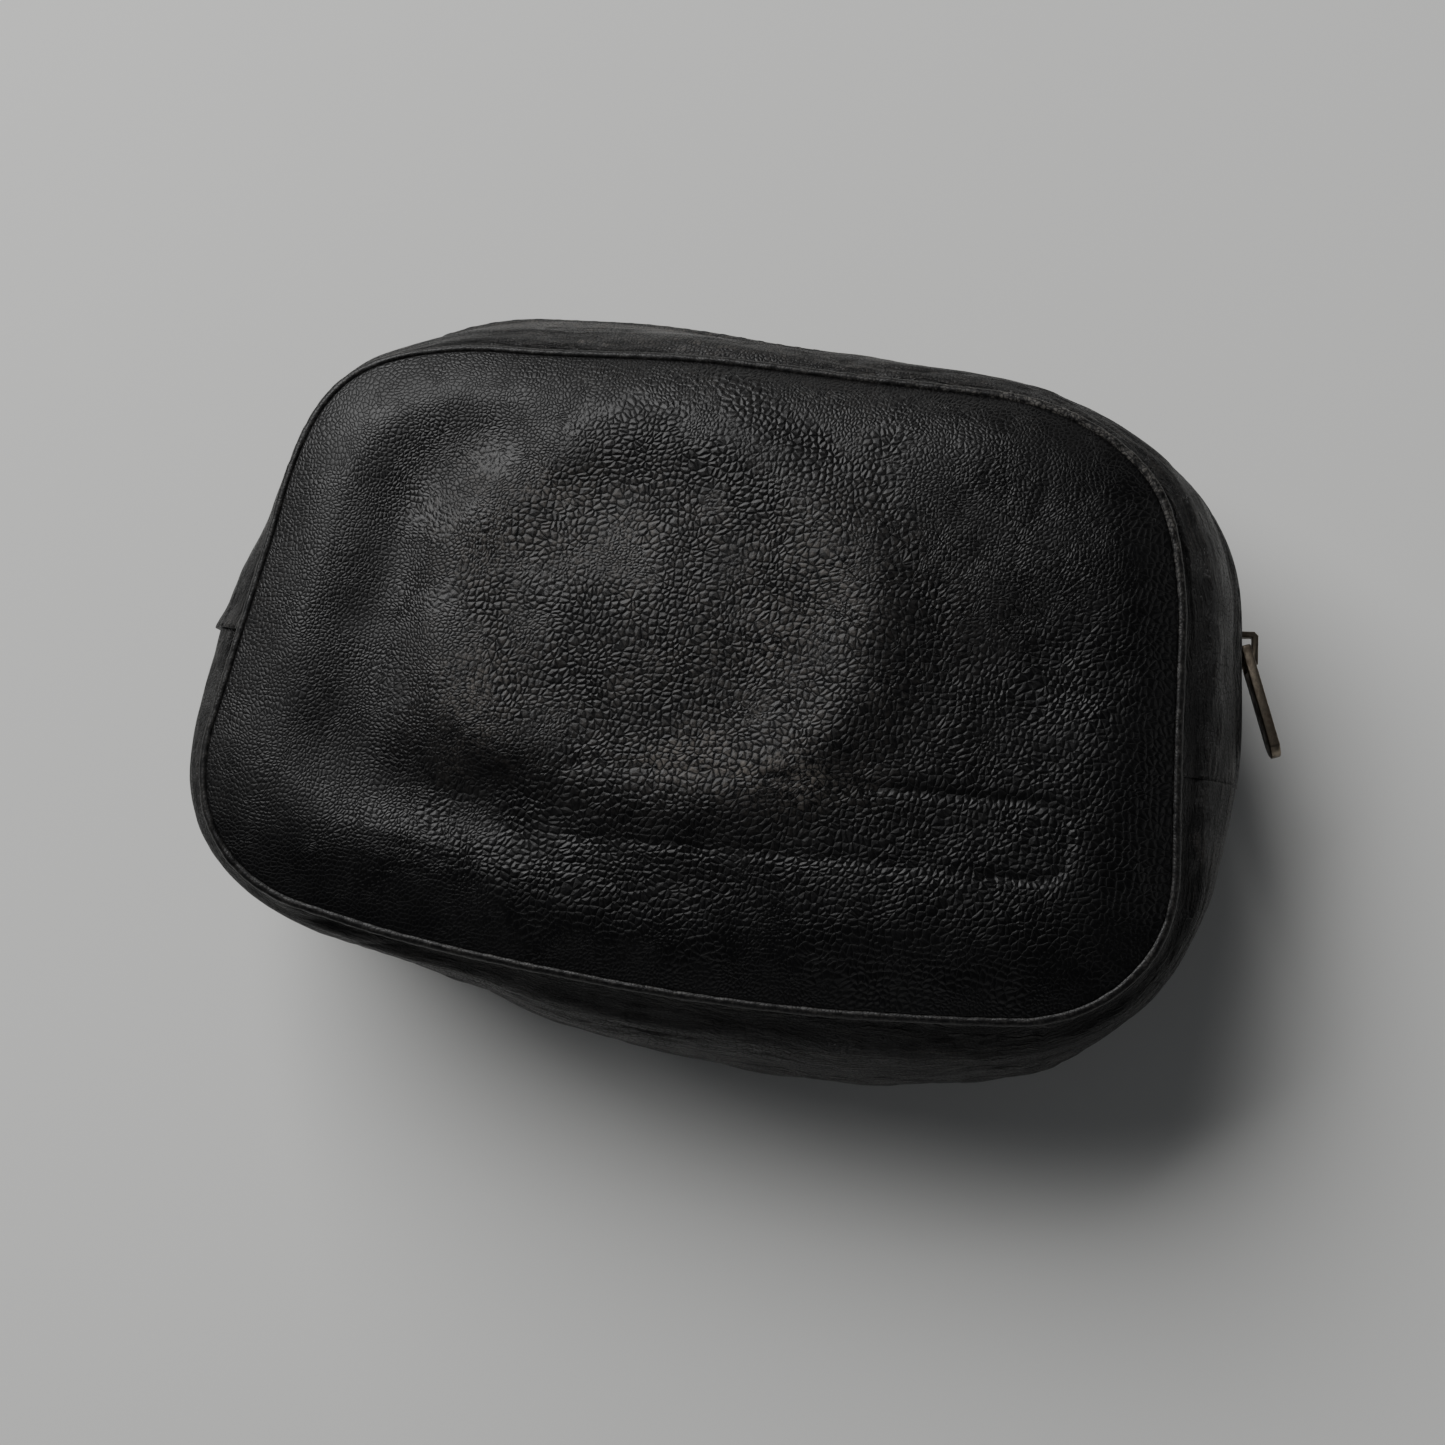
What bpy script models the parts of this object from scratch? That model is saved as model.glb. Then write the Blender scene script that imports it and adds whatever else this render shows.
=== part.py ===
"""A soft leather camera pouch with a zip over its top, lying on its back with the zipped top towards +Y.

The flat middle of the back panel rests on z = 0, and the padded front panel faces +Z.
The upper half of the front swings open about a fold across the panel, level with the two ends of the zip.
"""

import math

import bmesh
import bpy
from mathutils import Matrix, Vector

MM = 0.001
GAP = 0.3  # clearance between neighbouring pieces

# The seam line round each panel: tangent arcs from the middle of the bottom edge to the middle of the top
# edge, as (radius, turn in degrees, steps). The top edge's radius follows, because its arc must end on x = 0.
SEAM_BOTTOM_Y = -45.0
BOTTOM_EDGE = (293.0, 10.0, 2)
BOTTOM_CORNER = (21.5, 84.0, 7)
SIDE_EDGE = (650.0, 3.0, 2)
TOP_CORNER = (32.0, 80.0, 7)
TOP_EDGE_STEPS = 2

# Heights above the table
ZIP_Z = 26.0
HALF_DEPTH = 22.0  # from the zip to the seam of either panel
FRONT_SEAM_Z = ZIP_Z + HALF_DEPTH
BACK_SEAM_Z = ZIP_Z - HALF_DEPTH

# The gusset is a bulging strip: in section an arc from seam to seam that swells by BULGE at the zip.
BULGE = 9.4
ARC_R = (HALF_DEPTH**2 + BULGE**2) / (2 * BULGE)
LEATHER = 1.4
LINING = 0.5
SEAM_ANGLE = 43.7  # degrees from the zip to the gusset's sewn edge
BINDING = 0.8
BINDING_ANGLES = (31.0, 41.0)

# Piping: a folded leather strip round a cord
PIPING_R = 1.1
PIPING_WALL = 0.38
PIPING_CORD_R = 0.42
PIPING_OFFSET = 0.2
PIPING_RISE = 0.3

# Padded panels. Their rings are shares of the way from the middle to the edge, and the padding stops one short.
PANEL_INSET = 1.25
FOAM = 3.0
PANEL_CENTRE_Y = 0.5
FRONT_RINGS = (0.5, 0.8, 0.92, 0.97, 1.0)
FRONT_SHOULDER = 3.0  # the quick rise next to the piping
FRONT_CROWN = 3.5  # the slow rise towards the middle
FRONT_RIM = 0.8  # the leather's edge stands this far above the seam line
BACK_FLAT = 0.8  # share of the back panel that lies flat
BACK_RINGS = (BACK_FLAT, 0.9, 0.96, 1.0)
BACK_RIM = 3.2  # how far the back panel's edge turns up from its flat middle

# Zip
FOLD_Y = -4.0  # the ends of the zip, and the fold that the front opens about
FOLD_Z = 55.8
STRIP_GAP = 4.7  # from the middle of the chain to the edge of each leather strip
TAPE = 0.6
TAPE_DEPTH = 1.3  # the tape's middle lies this far inside the leather's middle
UNDER_TAPE = TAPE_DEPTH + TAPE / 2 + 0.5  # where the zip strips' lining starts
TAPE_REACH = 11.5
TOOTH_PITCH = 2.4
TOOTH_WIDTH = 0.8  # along the chain
TOOTH_TIP = 0.45  # how far past the middle of the chain a tooth reaches
BEAD = (0.75, 1.65)  # the bead that a row of teeth grows from, across the chain
ROW_HALF_HEIGHT = 1.0
TAPE_EDGE = BEAD[1] + GAP
CHAIN_LEFT_END = 15.0  # past the left corner's arc
STOP = (1.6, 1.8, 0.7)

# Slider and pull. Along the chain, across it, and out from the tape.
SLIDER_LENGTH = 9.5
SLIDER_WIDTH = 8.4
SLIDER_PLATE = 0.9
CHANNEL_OUT = 1.3
CHANNEL_IN = 1.65
CHANNEL_HALF_WIDTH = 3.5
LIP_OUT = 0.65
LIP_IN = 1.25
POST = (0.3, 2.4, 0.9)  # behind the slider's nose, its length and its half width
BRIDGE_SPAN = 1.9
BRIDGE_WALL = 0.8
BRIDGE_WIDTH = 2.2
BRIDGE_TOP = 4.35
PULL_AXIS_OUT = 3.3
PULL_AXIS_ALONG = 0.5
PULL_LENGTH = 16.5
PULL_WIDTH = 4.8
PULL_THICKNESS = 1.5
PULL_ARM = 0.8
PULL_WINDOW = 3.3
PULL_BAR = 1.1
PULL_REST_ANGLE = 17.0  # from the chain

COLOURS = {
    "leather": ((0.022, 0.021, 0.020), 0.45, 0.0),
    "piping_leather": ((0.018, 0.017, 0.016), 0.4, 0.0),
    "lining_cloth": ((0.06, 0.06, 0.065), 0.9, 0.0),
    "foam": ((0.16, 0.16, 0.15), 1.0, 0.0),
    "cord": ((0.55, 0.52, 0.46), 0.9, 0.0),
    "zip_tape": ((0.015, 0.015, 0.016), 0.85, 0.0),
    "binding_tape": ((0.03, 0.03, 0.032), 0.8, 0.0),
    "zip_metal": ((0.30, 0.26, 0.20), 0.35, 1.0),
}


def clear_scene():
    for obj in list(bpy.data.objects):
        bpy.data.objects.remove(obj, do_unlink=True)


def material(name):
    found = bpy.data.materials.get(name)
    if found:
        return found
    colour, roughness, metallic = COLOURS[name]
    made = bpy.data.materials.new(name)
    made.use_nodes = True
    shader = made.node_tree.nodes["Principled BSDF"]
    shader.inputs["Base Color"].default_value = (*colour, 1.0)
    shader.inputs["Roughness"].default_value = roughness
    shader.inputs["Metallic"].default_value = metallic
    return made


def add_object(name, bm, look, origin=(0.0, 0.0, 0.0)):
    """Makes an object from a mesh drawn in millimetres, with its origin at the given place."""
    bmesh.ops.recalc_face_normals(bm, faces=bm.faces)
    bmesh.ops.translate(bm, verts=bm.verts, vec=-Vector(origin))
    bmesh.ops.scale(bm, verts=bm.verts, vec=(MM, MM, MM))
    mesh = bpy.data.meshes.new(name)
    bm.to_mesh(mesh)
    bm.free()
    mesh.shade_smooth()
    mesh.set_sharp_from_angle(angle=math.radians(35))
    mesh.materials.append(material(look))
    obj = bpy.data.objects.new(name, mesh)
    obj.location = Vector(origin) * MM
    bpy.context.scene.collection.objects.link(obj)
    return obj


# ---------------------------------------------------------------- the outline


def outward(heading):
    """The outward normal of a path that runs anticlockwise with this heading."""
    return Vector((math.sin(heading), -math.cos(heading)))


def seam_arcs():
    """The right half of the seam line, from bottom to top, as (centre, radius, start heading, turn, steps)."""
    arcs = []
    point = Vector((0.0, SEAM_BOTTOM_Y))
    heading = 0.0
    for radius, degrees, steps in (BOTTOM_EDGE, BOTTOM_CORNER, SIDE_EDGE, TOP_CORNER):
        turn = math.radians(degrees)
        centre = point - radius * outward(heading)
        arcs.append((centre, radius, heading, turn, steps))
        heading += turn
        point = centre + radius * outward(heading)
    turn = math.pi - heading
    radius = point.x / math.sin(turn)
    arcs.append((point - radius * outward(heading), radius, heading, turn, TOP_EDGE_STEPS))
    return arcs


ARCS = seam_arcs()
SLIDER_ARC = ARCS[3]
CORNER_CENTRE = SLIDER_ARC[0]


def seam_stations():
    """Every station round the closed seam line, as (point, outward normal)."""
    right = []
    for centre, radius, heading, turn, steps in ARCS:
        for step in range(steps):
            normal = outward(heading + turn * step / steps)
            right.append((centre + radius * normal, normal))
    centre, radius = ARCS[-1][:2]
    top = (centre + radius * Vector((0.0, 1.0)), Vector((0.0, 1.0)))
    left = [(Vector((-p.x, p.y)), Vector((-n.x, n.y))) for p, n in reversed(right[1:])]
    return right + [top] + left


STATIONS = seam_stations()


def gusset_point(degrees, depth):
    """A point of the gusset's section, as (offset from the seam line, height); depth is inwards from its middle."""
    angle = math.radians(degrees)
    radius = ARC_R - depth
    return (BULGE - ARC_R + radius * math.cos(angle), ZIP_Z + radius * math.sin(angle))


def wall_section(low, high, outer, inner, steps):
    """A closed section through a curved wall, from angle low to high and from depth outer to depth inner."""
    angles = [low + (high - low) * k / steps for k in range(steps + 1)]
    outside = [gusset_point(a, outer) for a in angles]
    inside = [gusset_point(a, inner) for a in reversed(angles)]
    return outside + inside


# ---------------------------------------------------------------- building tools


def add_loop(bm, points):
    verts = [bm.verts.new(p) for p in points]
    return [bm.edges.new(pair) for pair in zip(verts, verts[1:] + verts[:1])]


def loft(loops, closed):
    """Bridges a row of closed loops. An open row gets a cap at each end."""
    bm = bmesh.new()
    rims = [add_loop(bm, loop) for loop in loops]
    pairs = list(zip(rims, rims[1:]))
    if closed:
        pairs.append((rims[-1], rims[0]))
    for first, second in pairs:
        bmesh.ops.bridge_loops(bm, edges=first + second)
    if not closed:
        for rim in (rims[0], rims[-1]):
            bmesh.ops.contextual_create(bm, geom=rim)
    return bm


def sweep(section):
    """Carries a section of (offset, height) points all round the seam line."""
    loops = [[(*(p + n * offset), height) for offset, height in section] for p, n in STATIONS]
    return loft(loops, closed=True)


def keep_half(bm, upper):
    """Cuts at the fold and keeps one side, half a gap back from it."""
    side = 1.0 if upper else -1.0
    geom = bm.verts[:] + bm.edges[:] + bm.faces[:]
    place = (0.0, FOLD_Y + side * GAP / 2, 0.0)
    bmesh.ops.bisect_plane(bm, geom=geom, plane_co=place, plane_no=(0.0, side, 0.0), clear_inner=True)
    bmesh.ops.holes_fill(bm, edges=[e for e in bm.edges if e.is_boundary])
    return bm


def halves(lower_name, upper_name, build, look):
    """The same shape twice, cut at the fold: the lower half stays with the bag and the upper half opens."""
    add_object(lower_name, keep_half(build(), upper=False), look)
    add_object(upper_name, keep_half(build(), upper=True), look)


def box(bm, size, place):
    """Adds a box; place is the matrix that carries it from the origin."""
    made = bmesh.ops.create_cube(bm, size=1.0)
    bmesh.ops.transform(bm, matrix=place @ Matrix.Diagonal((*size, 1.0)), verts=made["verts"])
    return made["verts"]


# ---------------------------------------------------------------- panels


def panel(rings, height, thickness):
    """A plate inside the seam line. height gives its outer face at a share of the way from middle to edge."""
    rim = [p - n * PANEL_INSET for p, n in STATIONS]
    middle = Vector((0.0, PANEL_CENTRE_Y))

    def loop(share, drop):
        z = height(share) + drop
        return [(*(middle + (p - middle) * share), z) for p in rim]

    outer = [loop(share, 0.0) for share in rings]
    inner = [loop(share, thickness) for share in reversed(rings)]
    return loft(outer + inner, closed=False)


def front_height(share):
    shoulder = FRONT_SHOULDER * (1.0 - share**12)
    crown = FRONT_CROWN * (1.0 - share**2)
    return FRONT_SEAM_Z + FRONT_RIM + shoulder + crown


def back_height(share):
    turned_up = max(0.0, share - BACK_FLAT) / (1.0 - BACK_FLAT)
    return BACK_RIM * turned_up**2


def add_front_panel():
    under_leather = LEATHER + GAP
    under_foam = under_leather + FOAM + GAP
    padded = FRONT_RINGS[:-1]

    def leather():
        return panel(FRONT_RINGS, front_height, -LEATHER)

    def foam():
        return panel(padded, lambda s: front_height(s) - under_leather, -FOAM)

    def lining():
        return panel(padded, lambda s: front_height(s) - under_foam, -LINING)

    halves("front_panel_lower", "front_panel_upper", leather, "leather")
    halves("front_padding_lower", "front_padding_upper", foam, "foam")
    halves("front_lining_lower", "front_lining_upper", lining, "lining_cloth")


def add_back_panel():
    over_leather = LEATHER + GAP
    over_foam = over_leather + FOAM + GAP
    padded = BACK_RINGS[:-1]
    foam = panel(padded, lambda s: back_height(s) + over_leather, FOAM)
    lining = panel(padded, lambda s: back_height(s) + over_foam, LINING)
    add_object("back_panel", panel(BACK_RINGS, back_height, LEATHER), "leather")
    add_object("back_padding", foam, "foam")
    add_object("back_lining", lining, "lining_cloth")


# ---------------------------------------------------------------- seams


def round_section(radius, height, sides):
    turns = [2 * math.pi * k / sides for k in range(sides)]
    return [(PIPING_OFFSET + radius * math.cos(t), height + radius * math.sin(t)) for t in turns]


def piping_section(height):
    """The folded strip in section: a thick C, open towards the inside of the bag."""
    mouth = math.radians(30)
    sweep_angle = 2 * (math.pi - mouth)
    outer = [(PIPING_R, math.pi + mouth + sweep_angle * k / 6) for k in range(7)]
    inner = [(PIPING_R - PIPING_WALL, math.pi - mouth - sweep_angle * k / 3) for k in range(4)]
    around = outer + inner
    return [(PIPING_OFFSET + r * math.cos(t), height + r * math.sin(t)) for r, t in around]


def binding_section(side):
    """The tape over the raw edges of a seam inside the bag; side is +1 at the front and -1 at the back."""
    depth = UNDER_TAPE + LINING + 0.4
    low, high = sorted((BINDING_ANGLES[0] * side, BINDING_ANGLES[1] * side))
    return wall_section(low, high, depth, depth + BINDING, 1)


def add_seams():
    front = FRONT_SEAM_Z + PIPING_RISE
    back = BACK_SEAM_Z - PIPING_RISE
    add_object("back_piping", sweep(piping_section(back)), "piping_leather")
    add_object("back_piping_cord", sweep(round_section(PIPING_CORD_R, back, 4)), "cord")
    add_object("back_seam_binding", sweep(binding_section(-1)), "binding_tape")
    halves(
        "front_piping_lower",
        "front_piping_upper",
        lambda: sweep(piping_section(front)),
        "piping_leather",
    )
    halves(
        "front_piping_cord_lower",
        "front_piping_cord_upper",
        lambda: sweep(round_section(PIPING_CORD_R, front, 4)),
        "cord",
    )
    halves(
        "front_seam_binding_lower",
        "front_seam_binding_upper",
        lambda: sweep(binding_section(1)),
        "binding_tape",
    )


# ---------------------------------------------------------------- gusset and zip strips


def add_gusset():
    strip_edge = math.degrees(STRIP_GAP / ARC_R)
    tape_edge = math.degrees(TAPE_EDGE / ARC_R)
    tape_reach = math.degrees(TAPE_REACH / ARC_R)
    lining_edge = math.degrees((SLIDER_WIDTH / 2 + GAP) / (ARC_R - 3 * TAPE_DEPTH))
    half = LEATHER / 2
    lining = half + GAP

    def wall(low, high, outer, thickness, steps, upper):
        return keep_half(sweep(wall_section(low, high, outer, outer + thickness, steps)), upper)

    end = SEAM_ANGLE
    lining_end = SEAM_ANGLE - 1.5
    add_object("lower_gusset", wall(-end, end, -half, LEATHER, 6, False), "leather")
    lower_lining = wall(-lining_end, lining_end, lining, LINING, 6, False)
    add_object("lower_gusset_lining", lower_lining, "lining_cloth")
    for side, name in ((-1, "back"), (1, "front")):
        low, high = sorted((side * strip_edge, side * end))
        add_object(name + "_zip_strip", wall(low, high, -half, LEATHER, 3, True), "leather")
        low, high = sorted((side * lining_edge, side * lining_end))
        strip_lining = wall(low, high, UNDER_TAPE, LINING, 3, True)
        add_object(name + "_strip_lining", strip_lining, "lining_cloth")
        low, high = sorted((side * tape_edge, side * tape_reach))
        tape = wall(low, high, TAPE_DEPTH - TAPE / 2, TAPE, 2, True)
        add_object(name + "_zip_tape", tape, "zip_tape")


# ---------------------------------------------------------------- chain


CHAIN_OFFSET = BULGE - TAPE_DEPTH
TOP_LENGTH = (ARCS[4][1] + CHAIN_OFFSET) * ARCS[4][3]
CORNER_LENGTH = (TOP_CORNER[0] + CHAIN_OFFSET) * math.radians(TOP_CORNER[1])
SLIDER_DISTANCE = TOP_LENGTH + CORNER_LENGTH


def chain_frame(distance, across=0.0, out=0.0):
    """A frame on the chain, this far from the middle of the top edge: to the right, or to the left if negative.

    Its x axis runs along the chain towards the left, y across it towards +Z, and z outwards.
    """
    side = math.copysign(1.0, distance)
    to_go = abs(distance)
    for centre, radius, heading, turn, _steps in reversed(ARCS[2:]):
        length = (radius + CHAIN_OFFSET) * turn
        if to_go <= length:
            break
        to_go -= length
    normal = outward(heading + turn - to_go / (radius + CHAIN_OFFSET))
    place = centre + (radius + CHAIN_OFFSET + out) * normal
    outwards = Vector((side * normal.x, normal.y, 0.0))
    up = Vector((0.0, 0.0, 1.0))
    frame = Matrix((up.cross(outwards), up, outwards)).transposed().to_4x4()
    frame.translation = (side * place.x, place.y, ZIP_Z + across)
    return frame


def tooth_row(side, first, last):
    """A row of teeth on side +1 (front) or -1 (back): a bead, and a tooth out of every second stretch of it."""
    edges = []
    distance = first
    while distance > last:
        edges += [distance + TOOTH_WIDTH / 2, distance - TOOTH_WIDTH / 2]
        distance -= TOOTH_PITCH
    low, high = side * BEAD[0], side * BEAD[1]
    high_out = ROW_HALF_HEIGHT
    corners = ((low, -high_out), (high, -high_out), (high, high_out), (low, high_out))
    bm = bmesh.new()
    rims = [add_loop(bm, [chain_frame(d, *c).translation for c in corners]) for d in edges]
    roots = []
    for k, (first_rim, second_rim) in enumerate(zip(rims, rims[1:])):
        faces = bmesh.ops.bridge_loops(bm, edges=first_rim + second_rim)["faces"]
        if k % 2 == 0:
            roots.append(min(faces, key=lambda f: abs(f.calc_center_median().z - ZIP_Z)))
    for rim in (rims[0], rims[-1]):
        bmesh.ops.contextual_create(bm, geom=rim)
    grown = bmesh.ops.extrude_discrete_faces(bm, faces=roots)["faces"]
    tips = [v for face in grown for v in face.verts]
    bmesh.ops.translate(bm, verts=tips, vec=(0.0, 0.0, -side * (BEAD[0] + TOOTH_TIP)))
    return bm


def add_teeth():
    first = SLIDER_DISTANCE + TOOTH_PITCH / 2
    last = -(SLIDER_DISTANCE + CHAIN_LEFT_END)
    add_object("front_zip_teeth", tooth_row(1, first, last), "zip_metal")
    add_object("back_zip_teeth", tooth_row(-1, first - TOOTH_PITCH / 2, last), "zip_metal")


def add_stops():
    """A small clamp on the end of each row beside the slider, and one clamp over both rows at the far end."""
    out = TAPE / 2 + GAP + STOP[2] / 2
    beside_slider = SLIDER_DISTANCE + SLIDER_LENGTH / 2 + GAP + STOP[0] / 2
    across = TAPE_EDGE + STOP[1] / 2
    for side, name in ((-1, "back_top_stop"), (1, "front_top_stop")):
        bm = bmesh.new()
        box(bm, STOP, chain_frame(beside_slider, side * across, out))
        bmesh.ops.bevel(bm, geom=bm.edges[:], offset=0.12, segments=1, affect="EDGES")
        add_object(name, bm, "zip_metal")
    bm = bmesh.new()
    far_end = -(SLIDER_DISTANCE + CHAIN_LEFT_END + TOOTH_PITCH)
    box(bm, (STOP[0], 2 * across + STOP[1], STOP[2]), chain_frame(far_end, 0.0, out))
    bmesh.ops.bevel(bm, geom=bm.edges[:], offset=0.12, segments=1, affect="EDGES")
    add_object("bottom_stop", bm, "zip_metal")


# ---------------------------------------------------------------- slider and pull


def prism(bm, outline, axis, low, high, place):
    """Extrudes an outline of (first, second) pairs along axis "x", "y" or "z", then carries it to its place."""
    spots = {
        "x": lambda a, b, c: (c, a, b),
        "y": lambda a, b, c: (a, c, b),
        "z": lambda a, b, c: (a, b, c),
    }
    verts = [bm.verts.new(spots[axis](a, b, low)) for a, b in outline]
    face = bm.faces.new(verts)
    grown = bmesh.ops.extrude_face_region(bm, geom=[face])
    moved = [g for g in grown["geom"] if isinstance(g, bmesh.types.BMVert)]
    along = Vector(spots[axis](0.0, 0.0, high - low))
    bmesh.ops.translate(bm, verts=moved, vec=along)
    bmesh.ops.transform(bm, matrix=place, verts=verts + moved)


def helper(name, bm, origin):
    obj = add_object(name, bm, "zip_metal", origin)
    obj.hide_render = True
    obj.display_type = "WIRE"
    return obj


def combine(obj, other, operation):
    step = obj.modifiers.new(other.name, "BOOLEAN")
    step.operation = operation
    step.object = other


def add_slider(axis):
    """A die-cast slider: two plates with lips that hold the rows, a post that parts them, and a bridge."""
    frame = chain_frame(SLIDER_DISTANCE)
    half = SLIDER_LENGTH / 2
    top = CHANNEL_OUT + SLIDER_PLATE
    bottom = -CHANNEL_IN - SLIDER_PLATE
    wide = SLIDER_WIDTH / 2
    narrow = wide - 0.9
    shoulder = 1.2

    bm = bmesh.new()
    plan = [(-half, -wide + 0.8), (-half + 0.8, -wide), (shoulder, -wide), (half, -narrow)]
    plan += [(x, -y) for x, y in reversed(plan)]
    prism(bm, plan, "z", bottom, top, frame)
    body = add_object("slider_body", bm, "zip_metal", axis)

    bm = bmesh.new()
    lip = CHANNEL_HALF_WIDTH
    past = wide + 1.0
    upper = [(past, LIP_OUT), (lip, LIP_OUT), (lip, CHANNEL_OUT), (-lip, CHANNEL_OUT), (-lip, LIP_OUT)]
    lower = [(-past, LIP_OUT), (-past, -LIP_IN), (-lip, -LIP_IN), (-lip, -CHANNEL_IN), (lip, -CHANNEL_IN)]
    prism(bm, upper + lower + [(lip, -LIP_IN), (past, -LIP_IN)], "x", -half - 1.0, half + 1.0, frame)
    combine(body, helper("slider_channel", bm, axis), "DIFFERENCE")

    bm = bmesh.new()
    nose = POST[0] - half
    widest = nose + 0.45 * POST[1]
    diamond = [(nose, 0.0), (widest, -POST[2]), (nose + POST[1], 0.0), (widest, POST[2])]
    prism(bm, diamond, "z", bottom + 0.3, top - 0.3, frame)
    combine(body, helper("slider_post", bm, axis), "UNION")

    bm = bmesh.new()
    span, wall = BRIDGE_SPAN, BRIDGE_WALL
    foot = top - 0.3
    arch = [(-span - wall, foot), (-span, foot), (-span, BRIDGE_TOP), (span, BRIDGE_TOP), (span, foot)]
    arch += [(span + wall, foot), (span + wall, BRIDGE_TOP + 0.2), (span + 0.2, BRIDGE_TOP + wall)]
    arch += [(-span - 0.2, BRIDGE_TOP + wall), (-span - wall, BRIDGE_TOP + 0.2)]
    along = PULL_AXIS_ALONG
    moved = [(a + along, b) for a, b in arch]
    prism(bm, moved, "y", -BRIDGE_WIDTH / 2, BRIDGE_WIDTH / 2, frame)
    combine(body, helper("slider_bridge", bm, axis), "UNION")
    return body


def add_pull():
    """A flat tab with a window at its root, whose bar runs under the slider's bridge."""
    frame = chain_frame(SLIDER_DISTANCE)
    pivot = frame @ Vector((PULL_AXIS_ALONG, 0.0, PULL_AXIS_OUT))
    turn = Matrix.Rotation(math.radians(PULL_REST_ANGLE - 180.0), 4, "Y")
    frame.translation = pivot
    # x runs out along the tab, y across it
    place = frame @ turn
    half = PULL_WIDTH / 2
    bar = PULL_BAR / 2
    tip = PULL_LENGTH
    outline = [(-bar, -half), (tip - 1.6, -half), (tip - 0.4, -half + 1.0), (tip, -half + 2.0)]
    outline += [(x, -y) for x, y in reversed(outline)]
    bm = bmesh.new()
    prism(bm, outline, "z", -PULL_THICKNESS / 2, PULL_THICKNESS / 2, place)
    pull = add_object("pull_tab", bm, "zip_metal", pivot)
    bm = bmesh.new()
    inside = half - PULL_ARM
    window = [(bar, -inside), (PULL_WINDOW, -inside), (PULL_WINDOW, inside), (bar, inside)]
    prism(bm, window, "z", -PULL_THICKNESS, PULL_THICKNESS, place)
    combine(pull, helper("pull_window", bm, pivot), "DIFFERENCE")
    return pull


def add_zip():
    add_teeth()
    add_stops()
    axis = (CORNER_CENTRE.x, CORNER_CENTRE.y, ZIP_Z)
    add_slider(axis)
    add_pull()


def main():
    clear_scene()
    add_back_panel()
    add_front_panel()
    add_seams()
    add_gusset()
    add_zip()


main()
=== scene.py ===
import math

import bmesh
import bpy
import numpy as np
from mathutils import Matrix, Vector


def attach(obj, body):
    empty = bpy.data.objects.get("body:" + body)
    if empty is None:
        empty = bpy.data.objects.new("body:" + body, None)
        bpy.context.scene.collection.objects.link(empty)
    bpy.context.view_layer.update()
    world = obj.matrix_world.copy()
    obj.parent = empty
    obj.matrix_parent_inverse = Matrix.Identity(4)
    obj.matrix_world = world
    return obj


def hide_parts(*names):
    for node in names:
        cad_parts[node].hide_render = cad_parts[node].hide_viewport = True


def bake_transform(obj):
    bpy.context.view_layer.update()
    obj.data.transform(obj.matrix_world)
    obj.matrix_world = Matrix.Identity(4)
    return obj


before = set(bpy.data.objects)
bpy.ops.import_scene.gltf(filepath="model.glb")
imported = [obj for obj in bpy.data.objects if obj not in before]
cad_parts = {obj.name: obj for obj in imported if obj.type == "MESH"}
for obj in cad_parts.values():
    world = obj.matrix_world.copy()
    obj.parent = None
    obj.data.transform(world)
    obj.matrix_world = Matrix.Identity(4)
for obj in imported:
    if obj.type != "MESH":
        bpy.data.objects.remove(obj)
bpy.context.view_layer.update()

# A worn black leather camera pouch on its back. Lengths are in millimetres until a mesh is made.
MM = 0.001

# The seam line round both panels, as tangent arcs from the middle of the bottom edge to the top: the
# radius and the turn in degrees. The top edge's own arc closes it.
SEAM_BOTTOM_Y = -45.0
SEAM_ARCS = ((293.0, 10.0), (21.5, 84.0), (650.0, 3.0), (32.0, 80.0))

ZIP_Z = 26.0
FRONT_Z = 48.0
BACK_Z = 4.0
HALF_DEPTH = 22.0
BULGE = 9.4
ARC_R = (HALF_DEPTH**2 + BULGE**2) / (2 * BULGE)
FOLD_Y = -4.0
LEATHER = 1.3
TAPE_DEPTH = 1.3
STRIP_GAP = 4.7
PANEL_MIDDLE = np.array([0.0, 0.5])
LENS = (-7.5, 6.3, 31.0, 26.0)  # the print of the lens: its middle and its radii


# ---------------------------------------------------------------- shape of the seam line


def seam_arcs():
    arcs = []
    point = np.array([0.0, SEAM_BOTTOM_Y])
    heading = 0.0
    start = 0.0
    for radius, degrees in SEAM_ARCS:
        turn = math.radians(degrees)
        centre = point - radius * np.array([math.sin(heading), -math.cos(heading)])
        arcs.append((centre, radius, heading, start))
        heading += turn
        start += radius * turn
        point = centre + radius * np.array([math.sin(heading), -math.cos(heading)])
    turn = math.pi - heading
    radius = point[0] / math.sin(turn)
    centre = point - radius * np.array([math.sin(heading), -math.cos(heading)])
    arcs.append((centre, radius, heading, start))
    return arcs, start + radius * turn


ARCS, HALF_LENGTH = seam_arcs()
BOTTOM_CORNER = (ARCS[1][3] + ARCS[2][3]) / 2
TOP_CORNER = (ARCS[3][3] + ARCS[4][3]) / 2


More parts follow.
